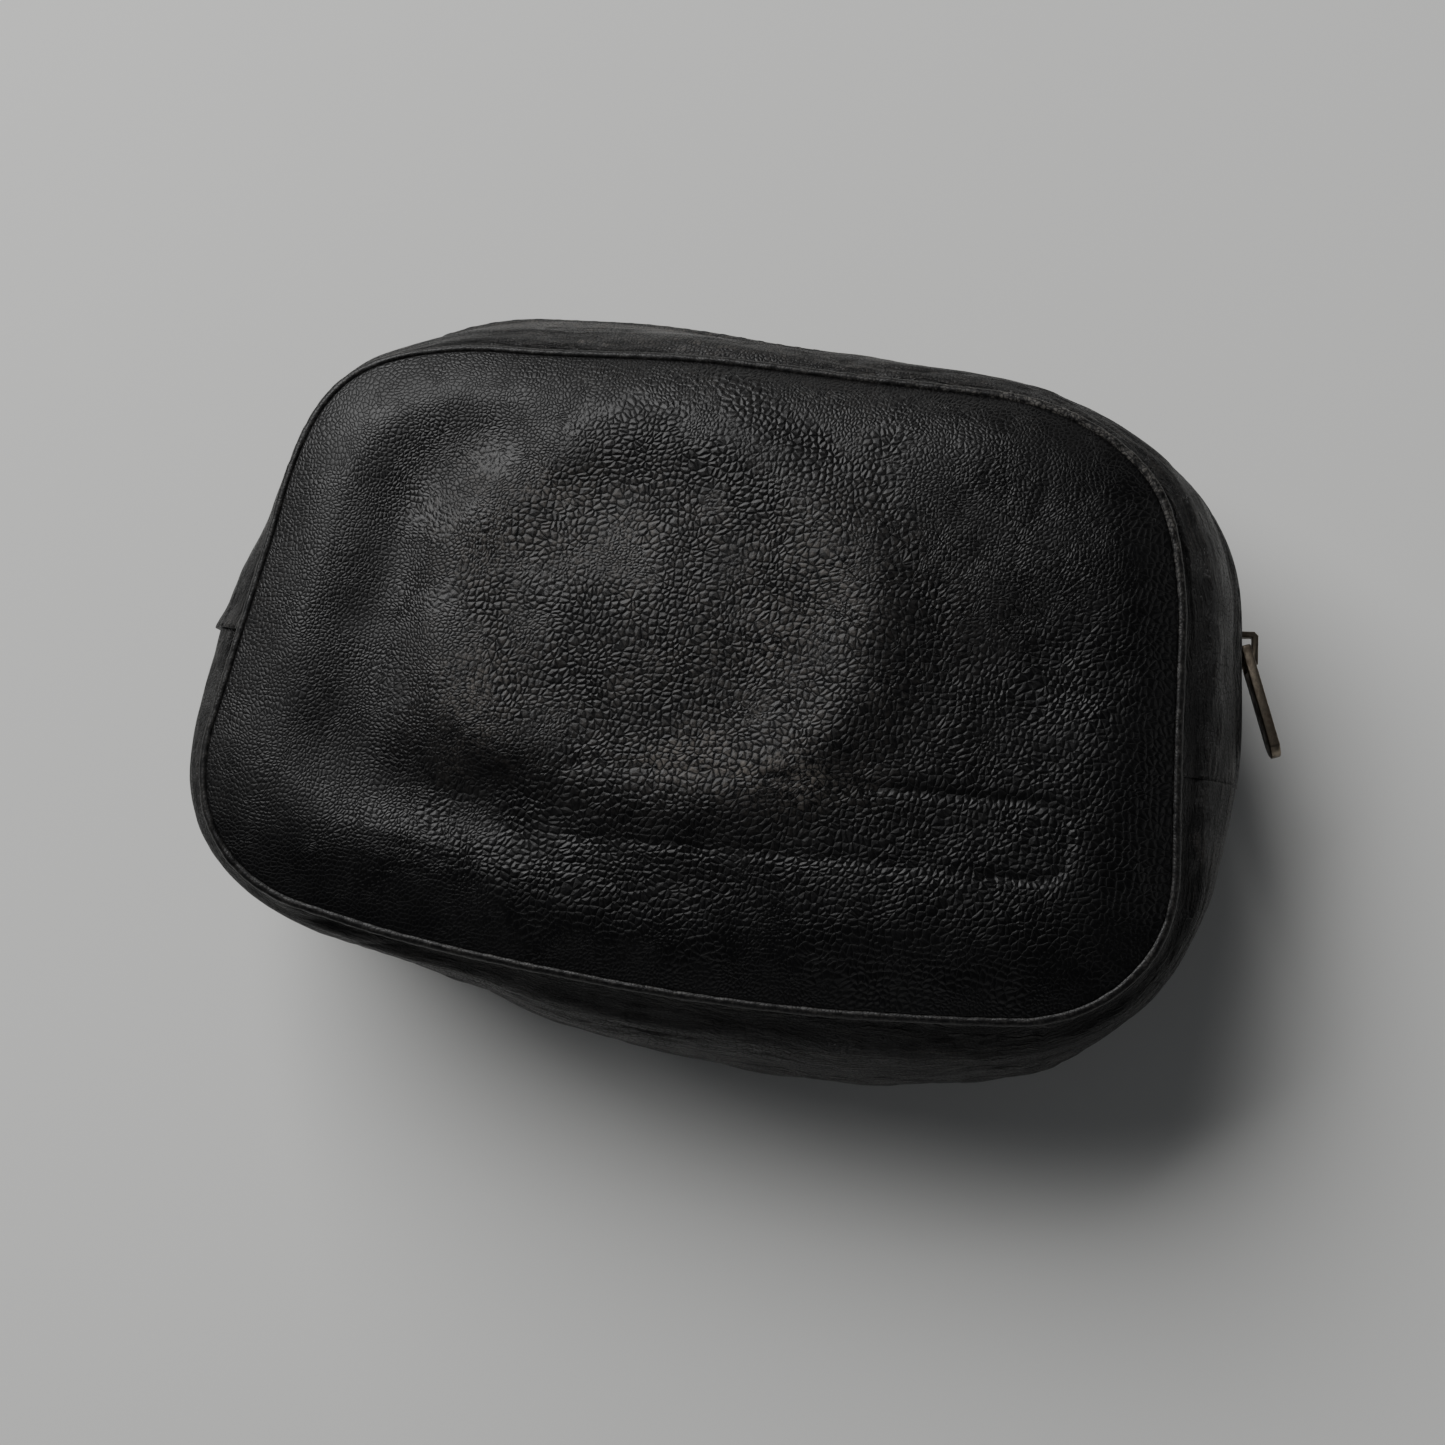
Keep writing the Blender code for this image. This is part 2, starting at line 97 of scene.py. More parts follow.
def seam(s):
    """Points and outward normals at lengths s along the seam line, anticlockwise from the middle of the bottom."""
    s = np.mod(np.asarray(s, float), 2 * HALF_LENGTH)
    mirrored = s > HALF_LENGTH
    s = np.where(mirrored, 2 * HALF_LENGTH - s, s)
    starts = np.array([arc[3] for arc in ARCS])
    which = np.clip(np.searchsorted(starts, s, side="right") - 1, 0, len(ARCS) - 1)
    centre = np.array([arc[0] for arc in ARCS])[which]
    radius = np.array([arc[1] for arc in ARCS])[which]
    heading = np.array([arc[2] for arc in ARCS])[which] + (s - starts[which]) / radius
    normal = np.stack([np.sin(heading), -np.cos(heading)], -1)
    point = centre + radius[..., None] * normal
    flip = np.where(mirrored, -1.0, 1.0)
    point[..., 0] *= flip
    normal[..., 0] *= flip
    return point, normal


def length_at_height(y):
    """The length along the right half of the seam line where it reaches height y on its side."""
    s = np.linspace(BOTTOM_CORNER, TOP_CORNER, 4000)
    return float(np.interp(y, seam(s)[0][:, 1], s))


FOLD_S = length_at_height(FOLD_Y)
FOLD_FAR_S = 2 * HALF_LENGTH - FOLD_S


def smooth_noise(u, v, seed):
    """Smooth random heights between -1 and 1, about one hump to each unit."""
    table = np.random.default_rng(seed).uniform(-1.0, 1.0, (128, 128))
    i = np.floor(u).astype(int)
    j = np.floor(v).astype(int)
    fu = u - i
    fv = v - j
    fu = fu * fu * (3 - 2 * fu)
    fv = fv * fv * (3 - 2 * fv)
    low = table[i % 128, j % 128] * (1 - fu) + table[(i + 1) % 128, j % 128] * fu
    high = table[i % 128, (j + 1) % 128] * (1 - fu) + table[(i + 1) % 128, (j + 1) % 128] * fu
    return low * (1 - fv) + high * fv


def creases(u, v, seed):
    """Sharp-bottomed creases between soft ridges, from -1 to 0."""
    return np.abs(smooth_noise(u, v, seed)) ** 0.7 - 1.0


def bump_at(x, middle, width):
    return np.exp(-(((x - middle) / width) ** 2))


# ---------------------------------------------------------------- how the bag has slumped with use

# How far the used bag lies outside the new one, by direction from the middle: degrees and millimetres.
RIM = (
    (0, 0.0), (14, 0.0), (21, 0.3), (30, 2.4), (40, 1.9), (50, 1.3), (60, 0.6), (72, 0.0), (98, -0.3), (110, -1.0),
    (120, -1.7), (130, -2.3), (140, -0.5), (147, 1.8), (153, 1.8), (161, 0.2), (170, -0.4), (180, 0.0), (190, 0.4),
    (200, 1.1), (207, 1.8), (215, 1.4), (230, 1.0), (242, 0.4), (256, 0.0), (310, 0.0), (322, 0.3), (335, 1.0),
    (343, 1.0), (352, 0.4),
)
BELLY = (
    (0, 1.0), (7, 0.8), (14, 0.3), (21, 0.9), (30, -1.2), (40, -2.7), (50, -2.6), (60, -2.0), (75, -1.3),
    (90, -1.1), (110, 0.2), (130, 0.4), (140, -1.2), (150, -5.0), (160, -5.6), (170, -2.7), (180, 0.7),
    (190, -0.9), (200, -1.9), (210, -3.9), (220, -5.4), (230, -4.0), (240, -3.5), (250, -2.0), (260, -1.0),
    (270, -0.3), (285, 0.6), (300, 0.7), (311, 0.6), (320, -0.9), (330, -2.9), (340, -3.7), (350, -1.0),
)
MOST_TURNS = 360


def around(table, angle):
    """A table's value in each direction, eased between its lines."""
    degrees = np.arange(MOST_TURNS)
    at, much = np.array(table, float).T
    even = np.interp(degrees, at, much, period=360.0)
    kernel = np.exp(-((np.arange(-12, 13) / 4.5) ** 2))
    soft = np.convolve(np.concatenate([even[-12:], even, even[:12]]), kernel / kernel.sum(), "valid")
    return np.interp(angle, degrees, soft, period=360.0)


def worn(points):
    """Moves points of the new bag to where the used bag has them."""
    p = np.array(points, float)
    shape = p.shape
    p = p.reshape(-1, 3)
    x, y, z = p[:, 0], p[:, 1], p[:, 2]
    angle = np.degrees(np.arctan2(y, x))
    reach = np.clip(np.hypot(x / 72.0, y / 48.0), 0.0, 1.3) ** 2
    high = np.clip((z - BACK_Z) / (FRONT_Z - BACK_Z), 0.0, 1.0)
    level = np.clip(1.0 - ((z - ZIP_Z) / HALF_DEPTH) ** 2, 0.0, 1.0)
    shift = around(RIM, angle) * (0.25 + 0.75 * high) + around(BELLY, angle) * level
    away = p[:, :2] / np.maximum(np.hypot(x, y), 1e-6)[:, None]
    p[:, :2] += away * (shift * reach)[:, None]
    return p.reshape(shape)


# ---------------------------------------------------------------- mesh making


def mesh_piece(name, points, faces, uvs=None, attributes=None, worn_shape=True):
    """An object from points in millimetres, smooth shaded, at the origin."""
    points = np.asarray(points, float).reshape(-1, 3)
    if worn_shape:
        points = worn(points)
    mesh = bpy.data.meshes.new(name)
    mesh.from_pydata((points * MM).tolist(), [], faces)
    if uvs is not None:
        layer = mesh.uv_layers.new(name="cloth")
        corner = np.zeros(len(mesh.loops), np.int32)
        mesh.loops.foreach_get("vertex_index", corner)
        layer.data.foreach_set("uv", (np.asarray(uvs, float).reshape(-1, 2)[corner]).ravel())
    for key, values in (attributes or {}).items():
        attribute = mesh.attributes.new(key, "FLOAT", "POINT")
        attribute.data.foreach_set("value", np.asarray(values, np.float32).ravel())
    mesh.shade_smooth()
    bm = bmesh.new()
    bm.from_mesh(mesh)
    bmesh.ops.recalc_face_normals(bm, faces=bm.faces)
    bm.to_mesh(mesh)
    bm.free()
    obj = bpy.data.objects.new(name, mesh)
    bpy.context.scene.collection.objects.link(obj)
    return obj


def place(s, offset, z):
    """Points at an offset outwards from the seam line and a height."""
    point, normal = seam(s)
    flat = point + normal * np.asarray(offset, float)[..., None]
    return np.concatenate([flat, np.broadcast_to(z, flat.shape[:-1])[..., None]], -1)


def swept_piece(name, s, sections, closed, attributes=None):
    """Carries closed sections of (offset, height) along the seam line: sections is stations by points by 2."""
    stations, count = sections.shape[:2]
    points = place(np.repeat(s[:, None], count, 1), sections[..., 0], sections[..., 1])
    rows = stations if closed else stations - 1
    faces = []
    for i in range(rows):
        a, b = i * count, ((i + 1) % stations) * count
        faces += [(a + j, b + j, b + (j + 1) % count, a + (j + 1) % count) for j in range(count)]
    if not closed:
        faces.append(tuple(range(count)))
        faces.append(tuple(range((stations - 1) * count, stations * count)))
    steps = np.linalg.norm(np.diff(sections, axis=1, prepend=sections[:, -1:]), axis=-1)
    steps[:, 0] = 0.0
    uvs = np.stack([np.repeat(s[:, None], count, 1), np.cumsum(steps, 1)], -1) * 0.1
    return mesh_piece(name, points, faces, uvs, attributes)


def wall_angles(low, high, count):
    """Angles over a wall of the gusset, closer together at both edges."""
    t = np.linspace(0.0, 1.0, count)
    return low + (high - low) * (t - 0.12 * np.sin(2 * math.pi * t) / (2 * math.pi) * 2)


def wall_sections(s, low, high, outer, thickness, count, relief=None, edge_steps=4):
    """Closed sections of a curved wall with round edges: depths run inwards from the middle of the leather."""
    outside = wall_angles(low, high, count)
    inside = np.linspace(high, low, max(6, count // 5))
    half = thickness / 2
    turn = np.linspace(0.0, math.pi, edge_steps + 2)[1:-1]
    reach = math.degrees(half / ARC_R)
    angles = np.concatenate([outside, high + reach * np.sin(turn), inside, low - reach * np.sin(turn)])
    depths = np.concatenate(
        [
            np.full(count, outer),
            outer + half - half * np.cos(turn),
            np.full(len(inside), outer + thickness),
            outer + half + half * np.cos(turn),
        ]
    )
    theta = np.radians(angles)[None, :]
    depth = np.repeat(depths[None, :], len(s), 0)
    if relief is not None:
        share = np.clip(1.0 - (depths - outer) / thickness, 0.0, 1.0)
        depth = depth - relief(s[:, None], angles[None, :]) * share[None, :]
    radius = ARC_R - depth
    offset = BULGE - ARC_R + radius * np.cos(theta)
    height = ZIP_Z + radius * np.sin(theta)
    return np.stack([offset, height], -1), angles


def panel_grid(half_count, crowding=1.3):
    """A square grid bent to fill the seam line: shares of the way to the edge, and lengths along the edge."""
    steps = np.arange(-half_count, half_count + 1) / half_count
    u, v = np.meshgrid(steps, steps, indexing="ij")
    r = np.maximum(np.abs(u), np.abs(v))
    safe = np.maximum(r, 1e-9)
    a, b = u / safe, v / safe
    q = np.where(
        b <= -1 + 1e-9,
        np.where(a >= 0, a, 8 + a),
        np.where(a >= 1 - 1e-9, b + 2, np.where(b >= 1 - 1e-9, 4 - a, 6 - b)),
    )
    full = 2 * HALF_LENGTH
    known = [0, BOTTOM_CORNER, TOP_CORNER, HALF_LENGTH, full - TOP_CORNER, full - BOTTOM_CORNER, full]
    s = np.interp(q, [0, 1, 3, 4, 5, 7, 8], known)
    return 1.0 - (1.0 - r) ** crowding, s


def panel_points(share, s, inset):
    """Flat places on a panel, and how far each lies inside its edge."""
    rim, normal = seam(s)
    rim = rim - normal * inset
    flat = PANEL_MIDDLE + (rim - PANEL_MIDDLE) * share[..., None]
    return flat, np.sum((rim - flat) * normal, -1)


def panel_piece(name, half_count, inset, outer_height, inner_height, attribute_maker=None):
    """A closed plate inside the seam line. The heights are functions of place, distance from the edge and share."""
    share, s = panel_grid(half_count)
    flat, inside = panel_points(share, s, inset)
    side = 2 * half_count + 1
    count = side * side
    top = np.concatenate([flat, outer_height(flat, inside, share)[..., None]], -1).reshape(-1, 3)
    low = np.concatenate([flat, inner_height(flat, inside, share)[..., None]], -1).reshape(-1, 3)
    ring = [(i, 0) for i in range(side)] + [(side - 1, j) for j in range(1, side)]
    ring += [(i, side - 1) for i in range(side - 2, -1, -1)] + [(0, j) for j in range(side - 2, 0, -1)]
    ring = [i * side + j for i, j in ring]
    rim_top, rim_low = top[ring], low[ring]
    normal = seam(s.reshape(-1)[ring])[1]
    bulge = np.concatenate([normal, np.zeros((len(ring), 1))], 1)
    thick = np.linalg.norm(rim_top - rim_low, axis=1)[:, None]
    middle = (rim_top + rim_low) / 2 + bulge * thick * 0.35
    points = np.concatenate([top, low, middle])
    faces = []
    for i in range(side - 1):
        for j in range(side - 1):
            a = i * side + j
            quad = (a, a + side, a + side + 1, a + 1)
            faces.append(quad)
            faces.append(tuple(count + k for k in reversed(quad)))
    size = len(ring)
    for k in range(size):
        n = (k + 1) % size
        faces.append((ring[k], ring[n], 2 * count + n, 2 * count + k))
        faces.append((2 * count + k, 2 * count + n, count + ring[n], count + ring[k]))
    attributes = attribute_maker(points) if attribute_maker else None
    return mesh_piece(name, points, faces, points[:, :2] * 0.1, attributes)


# ---------------------------------------------------------------- finishes


class Finish:
    """A material under construction. node() adds a node and returns one of its outputs."""

    def __init__(self, name):
        self.material = bpy.data.materials.new(name)
        self.material.use_nodes = True
        self.tree = self.material.node_tree
        self.shader = self.tree.nodes["Principled BSDF"]

    def wire(self, socket, value):
        if isinstance(value, bpy.types.NodeSocket):
            self.tree.links.new(value, socket)
        else:
            socket.default_value = value

    def node(self, kind, inputs=None, output=0, **settings):
        made = self.tree.nodes.new("ShaderNode" + kind)
        for key, value in settings.items():
            setattr(made, key, value)
        for key, value in (inputs or {}).items():
            self.wire(made.inputs[key], value)
        return made.outputs[output]

    def set(self, **sockets):
        for key, value in sockets.items():
            self.wire(self.shader.inputs[key.replace("_", " ")], value)

    def math(self, operation, a, b=0.0):
        return self.node("Math", {0: a, 1: b}, operation=operation, use_clamp=False)

    def span(self, value, low, high, to_low=0.0, to_high=1.0, smooth=True):
        kind = "SMOOTHSTEP" if smooth else "LINEAR"
        ends = {"From Min": low, "From Max": high, "To Min": to_low, "To Max": to_high}
        return self.node("MapRange", {"Value": value, **ends}, interpolation_type=kind)

    def blend(self, share, a, b):
        return self.node("Mix", {0: share, 6: a, 7: b}, output=2, data_type="RGBA")

    def blend_values(self, share, a, b):
        return self.node("Mix", {0: share, 2: a, 3: b}, output=0, data_type="FLOAT")

    def noise(self, spot, size, detail=3.0, roughness=0.5):
        """Noise with humps of about this size in millimetres, from 0 to 1."""
        inputs = {"Vector": spot, "Scale": 1.0 / (size * MM), "Detail": detail, "Roughness": roughness}
        return self.node("TexNoise", inputs, output="Fac")

    def cells(self, spot, size):
        """The distance from the edge between cells of this size, from 0 to about a half."""
        inputs = {"Vector": spot, "Scale": 1.0 / (size * MM), "Randomness": 1.0}
        return self.node("TexVoronoi", inputs, output="Distance", feature="DISTANCE_TO_EDGE")

    def flat_cells(self, place, size):
        """The same on a flat map in millimetres."""
        inputs = {"Vector": place, "Scale": 1.0 / size, "Randomness": 0.9}
        settings = {"feature": "DISTANCE_TO_EDGE", "voronoi_dimensions": "2D"}
        return self.node("TexVoronoi", inputs, output="Distance", **settings)

    def attribute(self, name):
        return self.node("Attribute", output="Fac", attribute_name=name)

    def spot(self):
        return self.node("TexCoord", output="Object")

    def bump(self, height, distance, strength=1.0, under=None):
        inputs = {"Height": height, "Distance": distance * MM, "Strength": strength}
        if under is not None:
            inputs["Normal"] = under
        return self.node("Bump", inputs)


def colour(r, g, b):
    return (r, g, b, 1.0)


def leather_finish(name, base, scuff_and_highlight_colour, roughness, relief=0.12):
    """Pebbled leather. Attributes steer it: "grain" from fine to coarse, "rub" to scuffed and lighter, which is partly
    scuffing and partly painted highlight, "crack", and "fold" to wrinkled, with a painted highlight on the ridges of
    the wrinkles. The edges of the grain, the cracks and the fibre grooves on folds are painted near black as painted
    shade.
    """
    f = Finish(name)
    uv = f.node("VectorMath", {0: f.node("UVMap", uv_map="cloth"), "Scale": 10.0}, operation="SCALE")
    near = f.node("TexNoise", {"Vector": uv, "Scale": 0.55, "Detail": 2.0}, output="Color", noise_dimensions="2D")
    far = f.node("TexNoise", {"Vector": uv, "Scale": 0.12, "Detail": 1.0}, output="Color", noise_dimensions="2D")
    near = f.node("VectorMath", {0: near, 1: (0.5, 0.5, 0.5)}, operation="SUBTRACT")
    far = f.node("VectorMath", {0: far, 1: (0.5, 0.5, 0.5)}, operation="SUBTRACT")
    near = f.node("VectorMath", {0: near, "Scale": 0.55}, operation="SCALE")
    far = f.node("VectorMath", {0: far, "Scale": 2.4}, operation="SCALE")
    bent = f.node("VectorMath", {0: f.node("VectorMath", {0: uv, 1: near}, operation="ADD"), 1: far}, operation="ADD")
    grain = f.attribute("grain")
    rub_and_highlight = f.attribute("rub_and_highlight")
    spot = f.spot()
    share = f.math("ADD", grain, f.span(f.noise(spot, 8.0, 2.0), 0.3, 0.7, -0.22, 0.22))
    fine = f.flat_cells(bent, 0.62)
    coarse = f.flat_cells(bent, 0.98)
    pick = f.span(share, 0.25, 0.7)
    edge = f.blend_values(pick, fine, coarse)
    pebble = f.math("POWER", f.span(edge, 0.0, 0.4, smooth=False), 0.6)
    turned = f.node("Mapping", {"Vector": bent, "Rotation": (0.0, 0.0, -0.75), "Scale": (0.42, 1.0, 1.0)})
    split = f.span(f.flat_cells(turned, 2.5), 0.0, 0.022)
    split = f.math("MAXIMUM", split, f.span(f.math("ADD", f.attribute("crack"), f.noise(spot, 4.0)), 0.75, 1.1, 1.0, 0.0))
    height = f.math("MULTIPLY", pebble, f.span(share, 0.0, 0.8, 0.4, 1.0))
    height = f.math("ADD", f.math("MULTIPLY", height, f.span(split, 0.0, 1.0, 0.2, 1.0)), f.math("MULTIPLY", split, 0.35))
    along = f.node("Mapping", {"Vector": bent, "Scale": (0.14, 1.0, 1.0)})
    fibres = {"Vector": along, "Scale": 0.95, "Detail": 5.0, "Roughness": 0.6}
    fibres = f.node("TexNoise", fibres, output="Fac", noise_dimensions="2D")
    fibres = f.math("ABSOLUTE", f.math("SUBTRACT", fibres, 0.5))
    fold = f.attribute("fold")
    furrow_shade = f.math("MAXIMUM", f.span(fibres, 0.0, 0.05), f.span(fold, 0.1, 0.7, 1.0, 0.0))
    # Painted highlight: the ridges of the fibres on folds are painted lighter.
    crest_highlight = f.math("MULTIPLY", f.span(fibres, 0.06, 0.16), fold)
    height = f.math("ADD", height, f.math("MULTIPLY", f.math("MULTIPLY", f.math("POWER", fibres, 0.6), fold), 9.0))
    f.set(Normal=f.bump(height, relief))
    tone = f.blend(f.span(f.noise(spot, 22.0, 4.0, 0.6), 0.3, 0.75), colour(*base), colour(*[c * 1.6 for c in base]))
    speckle = f.span(f.noise(spot, 1.1, 4.0, 0.8), 0.4, 0.66)
    # Lighter, rougher patches: scuffed pebbles, partly painted highlight, and the painted highlight on the fibre ridges
    # of folds.
    scuff_and_highlight_share = f.math("MULTIPLY", f.math("MULTIPLY", rub_and_highlight, speckle), f.span(edge, 0.03, 0.22, 0.2, 1.0))
    scuff_and_highlight_share = f.math("ADD", scuff_and_highlight_share, f.math("MULTIPLY", crest_highlight, f.span(f.noise(spot, 9.0), 0.35, 0.7, 0.02, 0.4)))
    tone = f.blend(f.math("MULTIPLY", scuff_and_highlight_share, 0.85), tone, colour(*scuff_and_highlight_colour))
    # Painted shade: the edges of the grain, the cracks and the grooves between fibres on folds are painted near black.
    crevice_shade = f.math("MULTIPLY", f.span(edge, 0.0, 0.12, 0.2, 1.0), f.span(split, 0.0, 1.0, 0.1, 1.0))
    crevice_shade = f.math("MULTIPLY", crevice_shade, furrow_shade)
    f.set(Base_Color=f.blend(crevice_shade, colour(0.0008, 0.0008, 0.0009), tone))
    gloss = f.span(f.noise(spot, 6.0, 3.0), 0.3, 0.7, roughness - 0.05, roughness + 0.06)
    gloss = f.math("ADD", gloss, f.span(edge, 0.0, 0.12, 0.3, 0.0))
    f.set(Roughness=f.blend_values(scuff_and_highlight_share, gloss, 0.55))
    f.shader.inputs["Specular IOR Level"].default_value = 0.34
    return f.material


def woven_finish(name, base, thread, roughness=0.85):
    """Woven tape. It reads the piece's own map, whose units are centimetres."""
    f = Finish(name)
    uv = f.node("UVMap", uv_map="cloth")
    across = f.node("TexWave", {"Vector": uv, "Scale": 10.0 / thread / 3.14}, output="Fac", bands_direction="Y")
    along = f.node("TexWave", {"Vector": uv, "Scale": 10.0 / thread / 3.14}, output="Fac", bands_direction="DIAGONAL")
    height = f.math("MULTIPLY", across, along)
    f.set(Normal=f.bump(height, 0.12), Roughness=roughness)
    light = colour(*[c * 1.9 for c in base])
    f.set(Base_Color=f.blend(f.math("MULTIPLY", height, 0.6), colour(*base), light))
    f.shader.inputs["Sheen Weight"].default_value = 0.25
    f.shader.inputs["Specular IOR Level"].default_value = 0.25
    return f.material


def napped_finish(name, base, size, sheen=0.5):
    """Brushed lining cloth, foam or cotton: a soft nap of this size."""
    f = Finish(name)
    spot = f.spot()
    nap = f.noise(spot, size, 4.0, 0.7)
    f.set(Normal=f.bump(nap, 0.25), Roughness=0.95)
    f.set(Base_Color=f.blend(nap, colour(*[c * 0.7 for c in base]), colour(*[c * 1.3 for c in base])))
    f.shader.inputs["Sheen Weight"].default_value = sheen
    f.shader.inputs["Specular IOR Level"].default_value = 0.15
    return f.material


def metal_finish(name, bright, tarnish, roughness):
    """Old plated metal, worn bright in patches."""
    f = Finish(name)
    spot = f.spot()
    film = f.span(f.noise(spot, 2.6, 4.0, 0.65), 0.35, 0.65)
    scratch = f.noise(f.node("Mapping", {"Vector": spot, "Scale": (1.0, 0.12, 1.0)}), 0.3, 3.0, 0.6)
    f.set(Base_Color=f.blend(film, colour(*bright), colour(*tarnish)), Metallic=1.0)
    f.set(Roughness=f.span(film, 0.0, 1.0, roughness, roughness + 0.22))
    f.set(Normal=f.bump(scratch, 0.03, 0.6))
    return f.material


# The second colour is scuffed leather, also used for the painted highlights.
BLACK_LEATHER = leather_finish("black_leather", (0.0021, 0.0020, 0.0022), (0.118, 0.105, 0.093), 0.36)
PIPING_LEATHER = leather_finish("piping_leather", (0.0025, 0.0024, 0.0025), (0.10, 0.094, 0.086), 0.36, 0.04)
ZIP_CLOTH = woven_finish("zip_cloth", (0.012, 0.012, 0.013), 0.5)
BINDING_CLOTH = woven_finish("binding_cloth", (0.02, 0.02, 0.022), 0.7)
LINING_CLOTH = napped_finish("lining_cloth", (0.05, 0.05, 0.056), 0.5)
FOAM = napped_finish("grey_foam", (0.15, 0.15, 0.14), 0.4, 0.0)
COTTON = napped_finish("cotton_cord", (0.5, 0.46, 0.38), 0.3)
THREAD = napped_finish("black_thread", (0.014, 0.014, 0.015), 0.15, 0.3)
OLD_METAL = metal_finish("old_metal", (0.29, 0.25, 0.195), (0.10, 0.08, 0.062), 0.3)


def dress(obj, material, slot, body, *nodes):
    """Finishes a piece: its material, its slot, which is not used, the nodes it stands for, and the body or the bend it
    follows.
    """
    obj.data.materials.clear()
    obj.data.materials.append(material)
    if nodes:
        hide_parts(*nodes)
    if body == "front":
        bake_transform(obj)
    else:
        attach(obj, body)
    return obj


# ---------------------------------------------------------------- panels


def label_frame(x, y):
    """How deep a plain pressed frame lies in the leather: a rounded bar low on the right of the front."""
    turn = math.radians(4.0)
    dx, dy = x - 18.7, y + 18.4
    u = dx * math.cos(turn) + dy * math.sin(turn)
    v = -dx * math.sin(turn) + dy * math.cos(turn)
    corner = 3.2
    qx = np.abs(u) - (35.0 - corner)
    qy = np.abs(v) - (5.2 - corner)
    edge = np.hypot(np.maximum(qx, 0), np.maximum(qy, 0)) + np.minimum(np.maximum(qx, qy), 0) - corner
    fade = 0.65 + 0.35 * np.clip((u + 10) / 30, 0, 1)
    return (0.3 * np.exp(-((edge / 0.65) ** 2)) + 0.14 / (1 + np.exp(edge / 0.5))) * fade


def lens_distance(x, y):
    return np.hypot((x - LENS[0]) / LENS[2], (y - LENS[1]) / LENS[3])


def face_relief(x, y):
    """How the front stands above a smooth crown: the print of the lens, hollows, and creases from use."""
    r = lens_distance(x, y)
    around = np.arctan2(y - LENS[1], x - LENS[0])
    ridge = 0.95 * np.exp(-(((r - 1.0) / 0.2) ** 2)) * (0.85 + 0.25 * np.cos(2 * around + 0.6))
    dish = -0.45 * np.exp(-((r / 0.75) ** 4))
    swell = 0.4 * np.exp(-(((x + 14) / 16) ** 2 + ((y - 2) / 9) ** 2))
    hollow = -1.3 * np.exp(-(((x + 26 + 0.5 * (y + 28)) / 26) ** 2 + ((y + 28 + 0.16 * x) / 7.5) ** 2))
    hollow += -0.7 * np.exp(-(((x - 44) / 15) ** 2 + ((y + 2) / 20) ** 2))
    soft = 0.3 * smooth_noise(x / 17 + 3.1, y / 13 + 0.4, 5) + 0.05 * smooth_noise(x / 6.5, y / 5.5, 6)
    low_left = np.exp(-(((x + 12) / 34) ** 2 + ((y + 29) / 9) ** 2))
    bend = 0.25 * smooth_noise(x / 15, y / 15, 8)
    lines = 0.22 * low_left * creases(x / 11 + bend, (y + 0.18 * x) / 1.9 + 2 * bend, 9)
    right = np.clip((x - 22) / 22, 0, 1)
    lines += 0.09 * right * creases(x / 1.5 + 2 * bend, y / 8 + bend, 10)
    small = 0.01 * smooth_noise(x / 1.6, y / 1.6, 11)
    return ridge + dish + swell + hollow + soft + lines + small - label_frame(x, y)


def front_height(flat, inside, share):
    x, y = flat[..., 0], flat[..., 1]
    width = 9.5 + 7.0 * np.clip(-y / 40.0, 0.0, 1.0) + 4.0 * np.clip(x / 60.0, 0.0, 1.0)
    t = np.clip(inside / width, 0.0, 1.0)
    left = np.clip(-x / 45.0, 0.0, 1.0)
    shoulder = (3.1 - 0.8 * left) * (1.0 - (1.0 - t) ** (2.5 - 1.0 * left))
    crown = 3.0 * (1.0 - share**2)
    settle = np.clip(inside / 8.0, 0.0, 1.0) ** 1.5
    beside = np.clip(-0.2 - x / 38.0, 0.0, 1.0) * np.clip(1.0 + y / 35.0, 0.0, 1.0)
    sunk = 1.7 * beside * bump_at(inside, 21.0, 8.5)
    return FRONT_Z + 1.0 + shoulder + crown - sunk + settle * face_relief(x, y)


def front_wear_and_highlights(points):
    x, y = points[:, 0], points[:, 1]
    patches = (
        # Lighter patches on the ring of the lens print, on the left rim and along the top edge: partly scuffs, partly
        # painted highlight on the slopes that face the light.
        (-25, 20, 13, 7, 0.6), (-34, 8, 6, 12, 0.45), (16, 9, 7, 18, 0.75), (9, -12.5, 14, 4, 1.4), (-31, -8, 6, 10, 0.6),
        (-6, 4, 26, 20, 0.42), (-8, 20, 18, 8, 0.25), (30, 10, 14, 16, 0.12), (-66, 0, 6, 40, 0.12), (0, 41, 60, 4, 0.15),
    )
    rub_and_highlight = sum(w * np.exp(-(((x - cx) / a) ** 2 + ((y - cy) / b) ** 2)) for cx, cy, a, b, w in patches)
    rub_and_highlight = rub_and_highlight * (0.75 + 0.5 * smooth_noise(x / 4.5, y / 4.5, 21))
    grain = np.clip((x + 56) / 44, 0.05, 1.0) * (0.85 + 0.25 * smooth_noise(x / 15, y / 15, 22))
    grain *= np.clip(1.15 - (np.abs(y + 2) / 46) ** 4, 0.45, 1.0)
    grain *= 1 - 0.75 * np.exp(-(((x - 42) / 22) ** 2 + ((y - 26) / 15) ** 2))
    crack = np.exp(-(((x - 38) / 20) ** 2 + ((y - 22) / 13) ** 2)) + 0.5 * np.exp(-(((x - 20) / 16) ** 2 + ((y - 5) / 12) ** 2))
    return {"rub_and_highlight": np.clip(rub_and_highlight, 0, 1.3), "grain": np.clip(grain, 0, 1), "crack": np.clip(crack, 0, 1)}


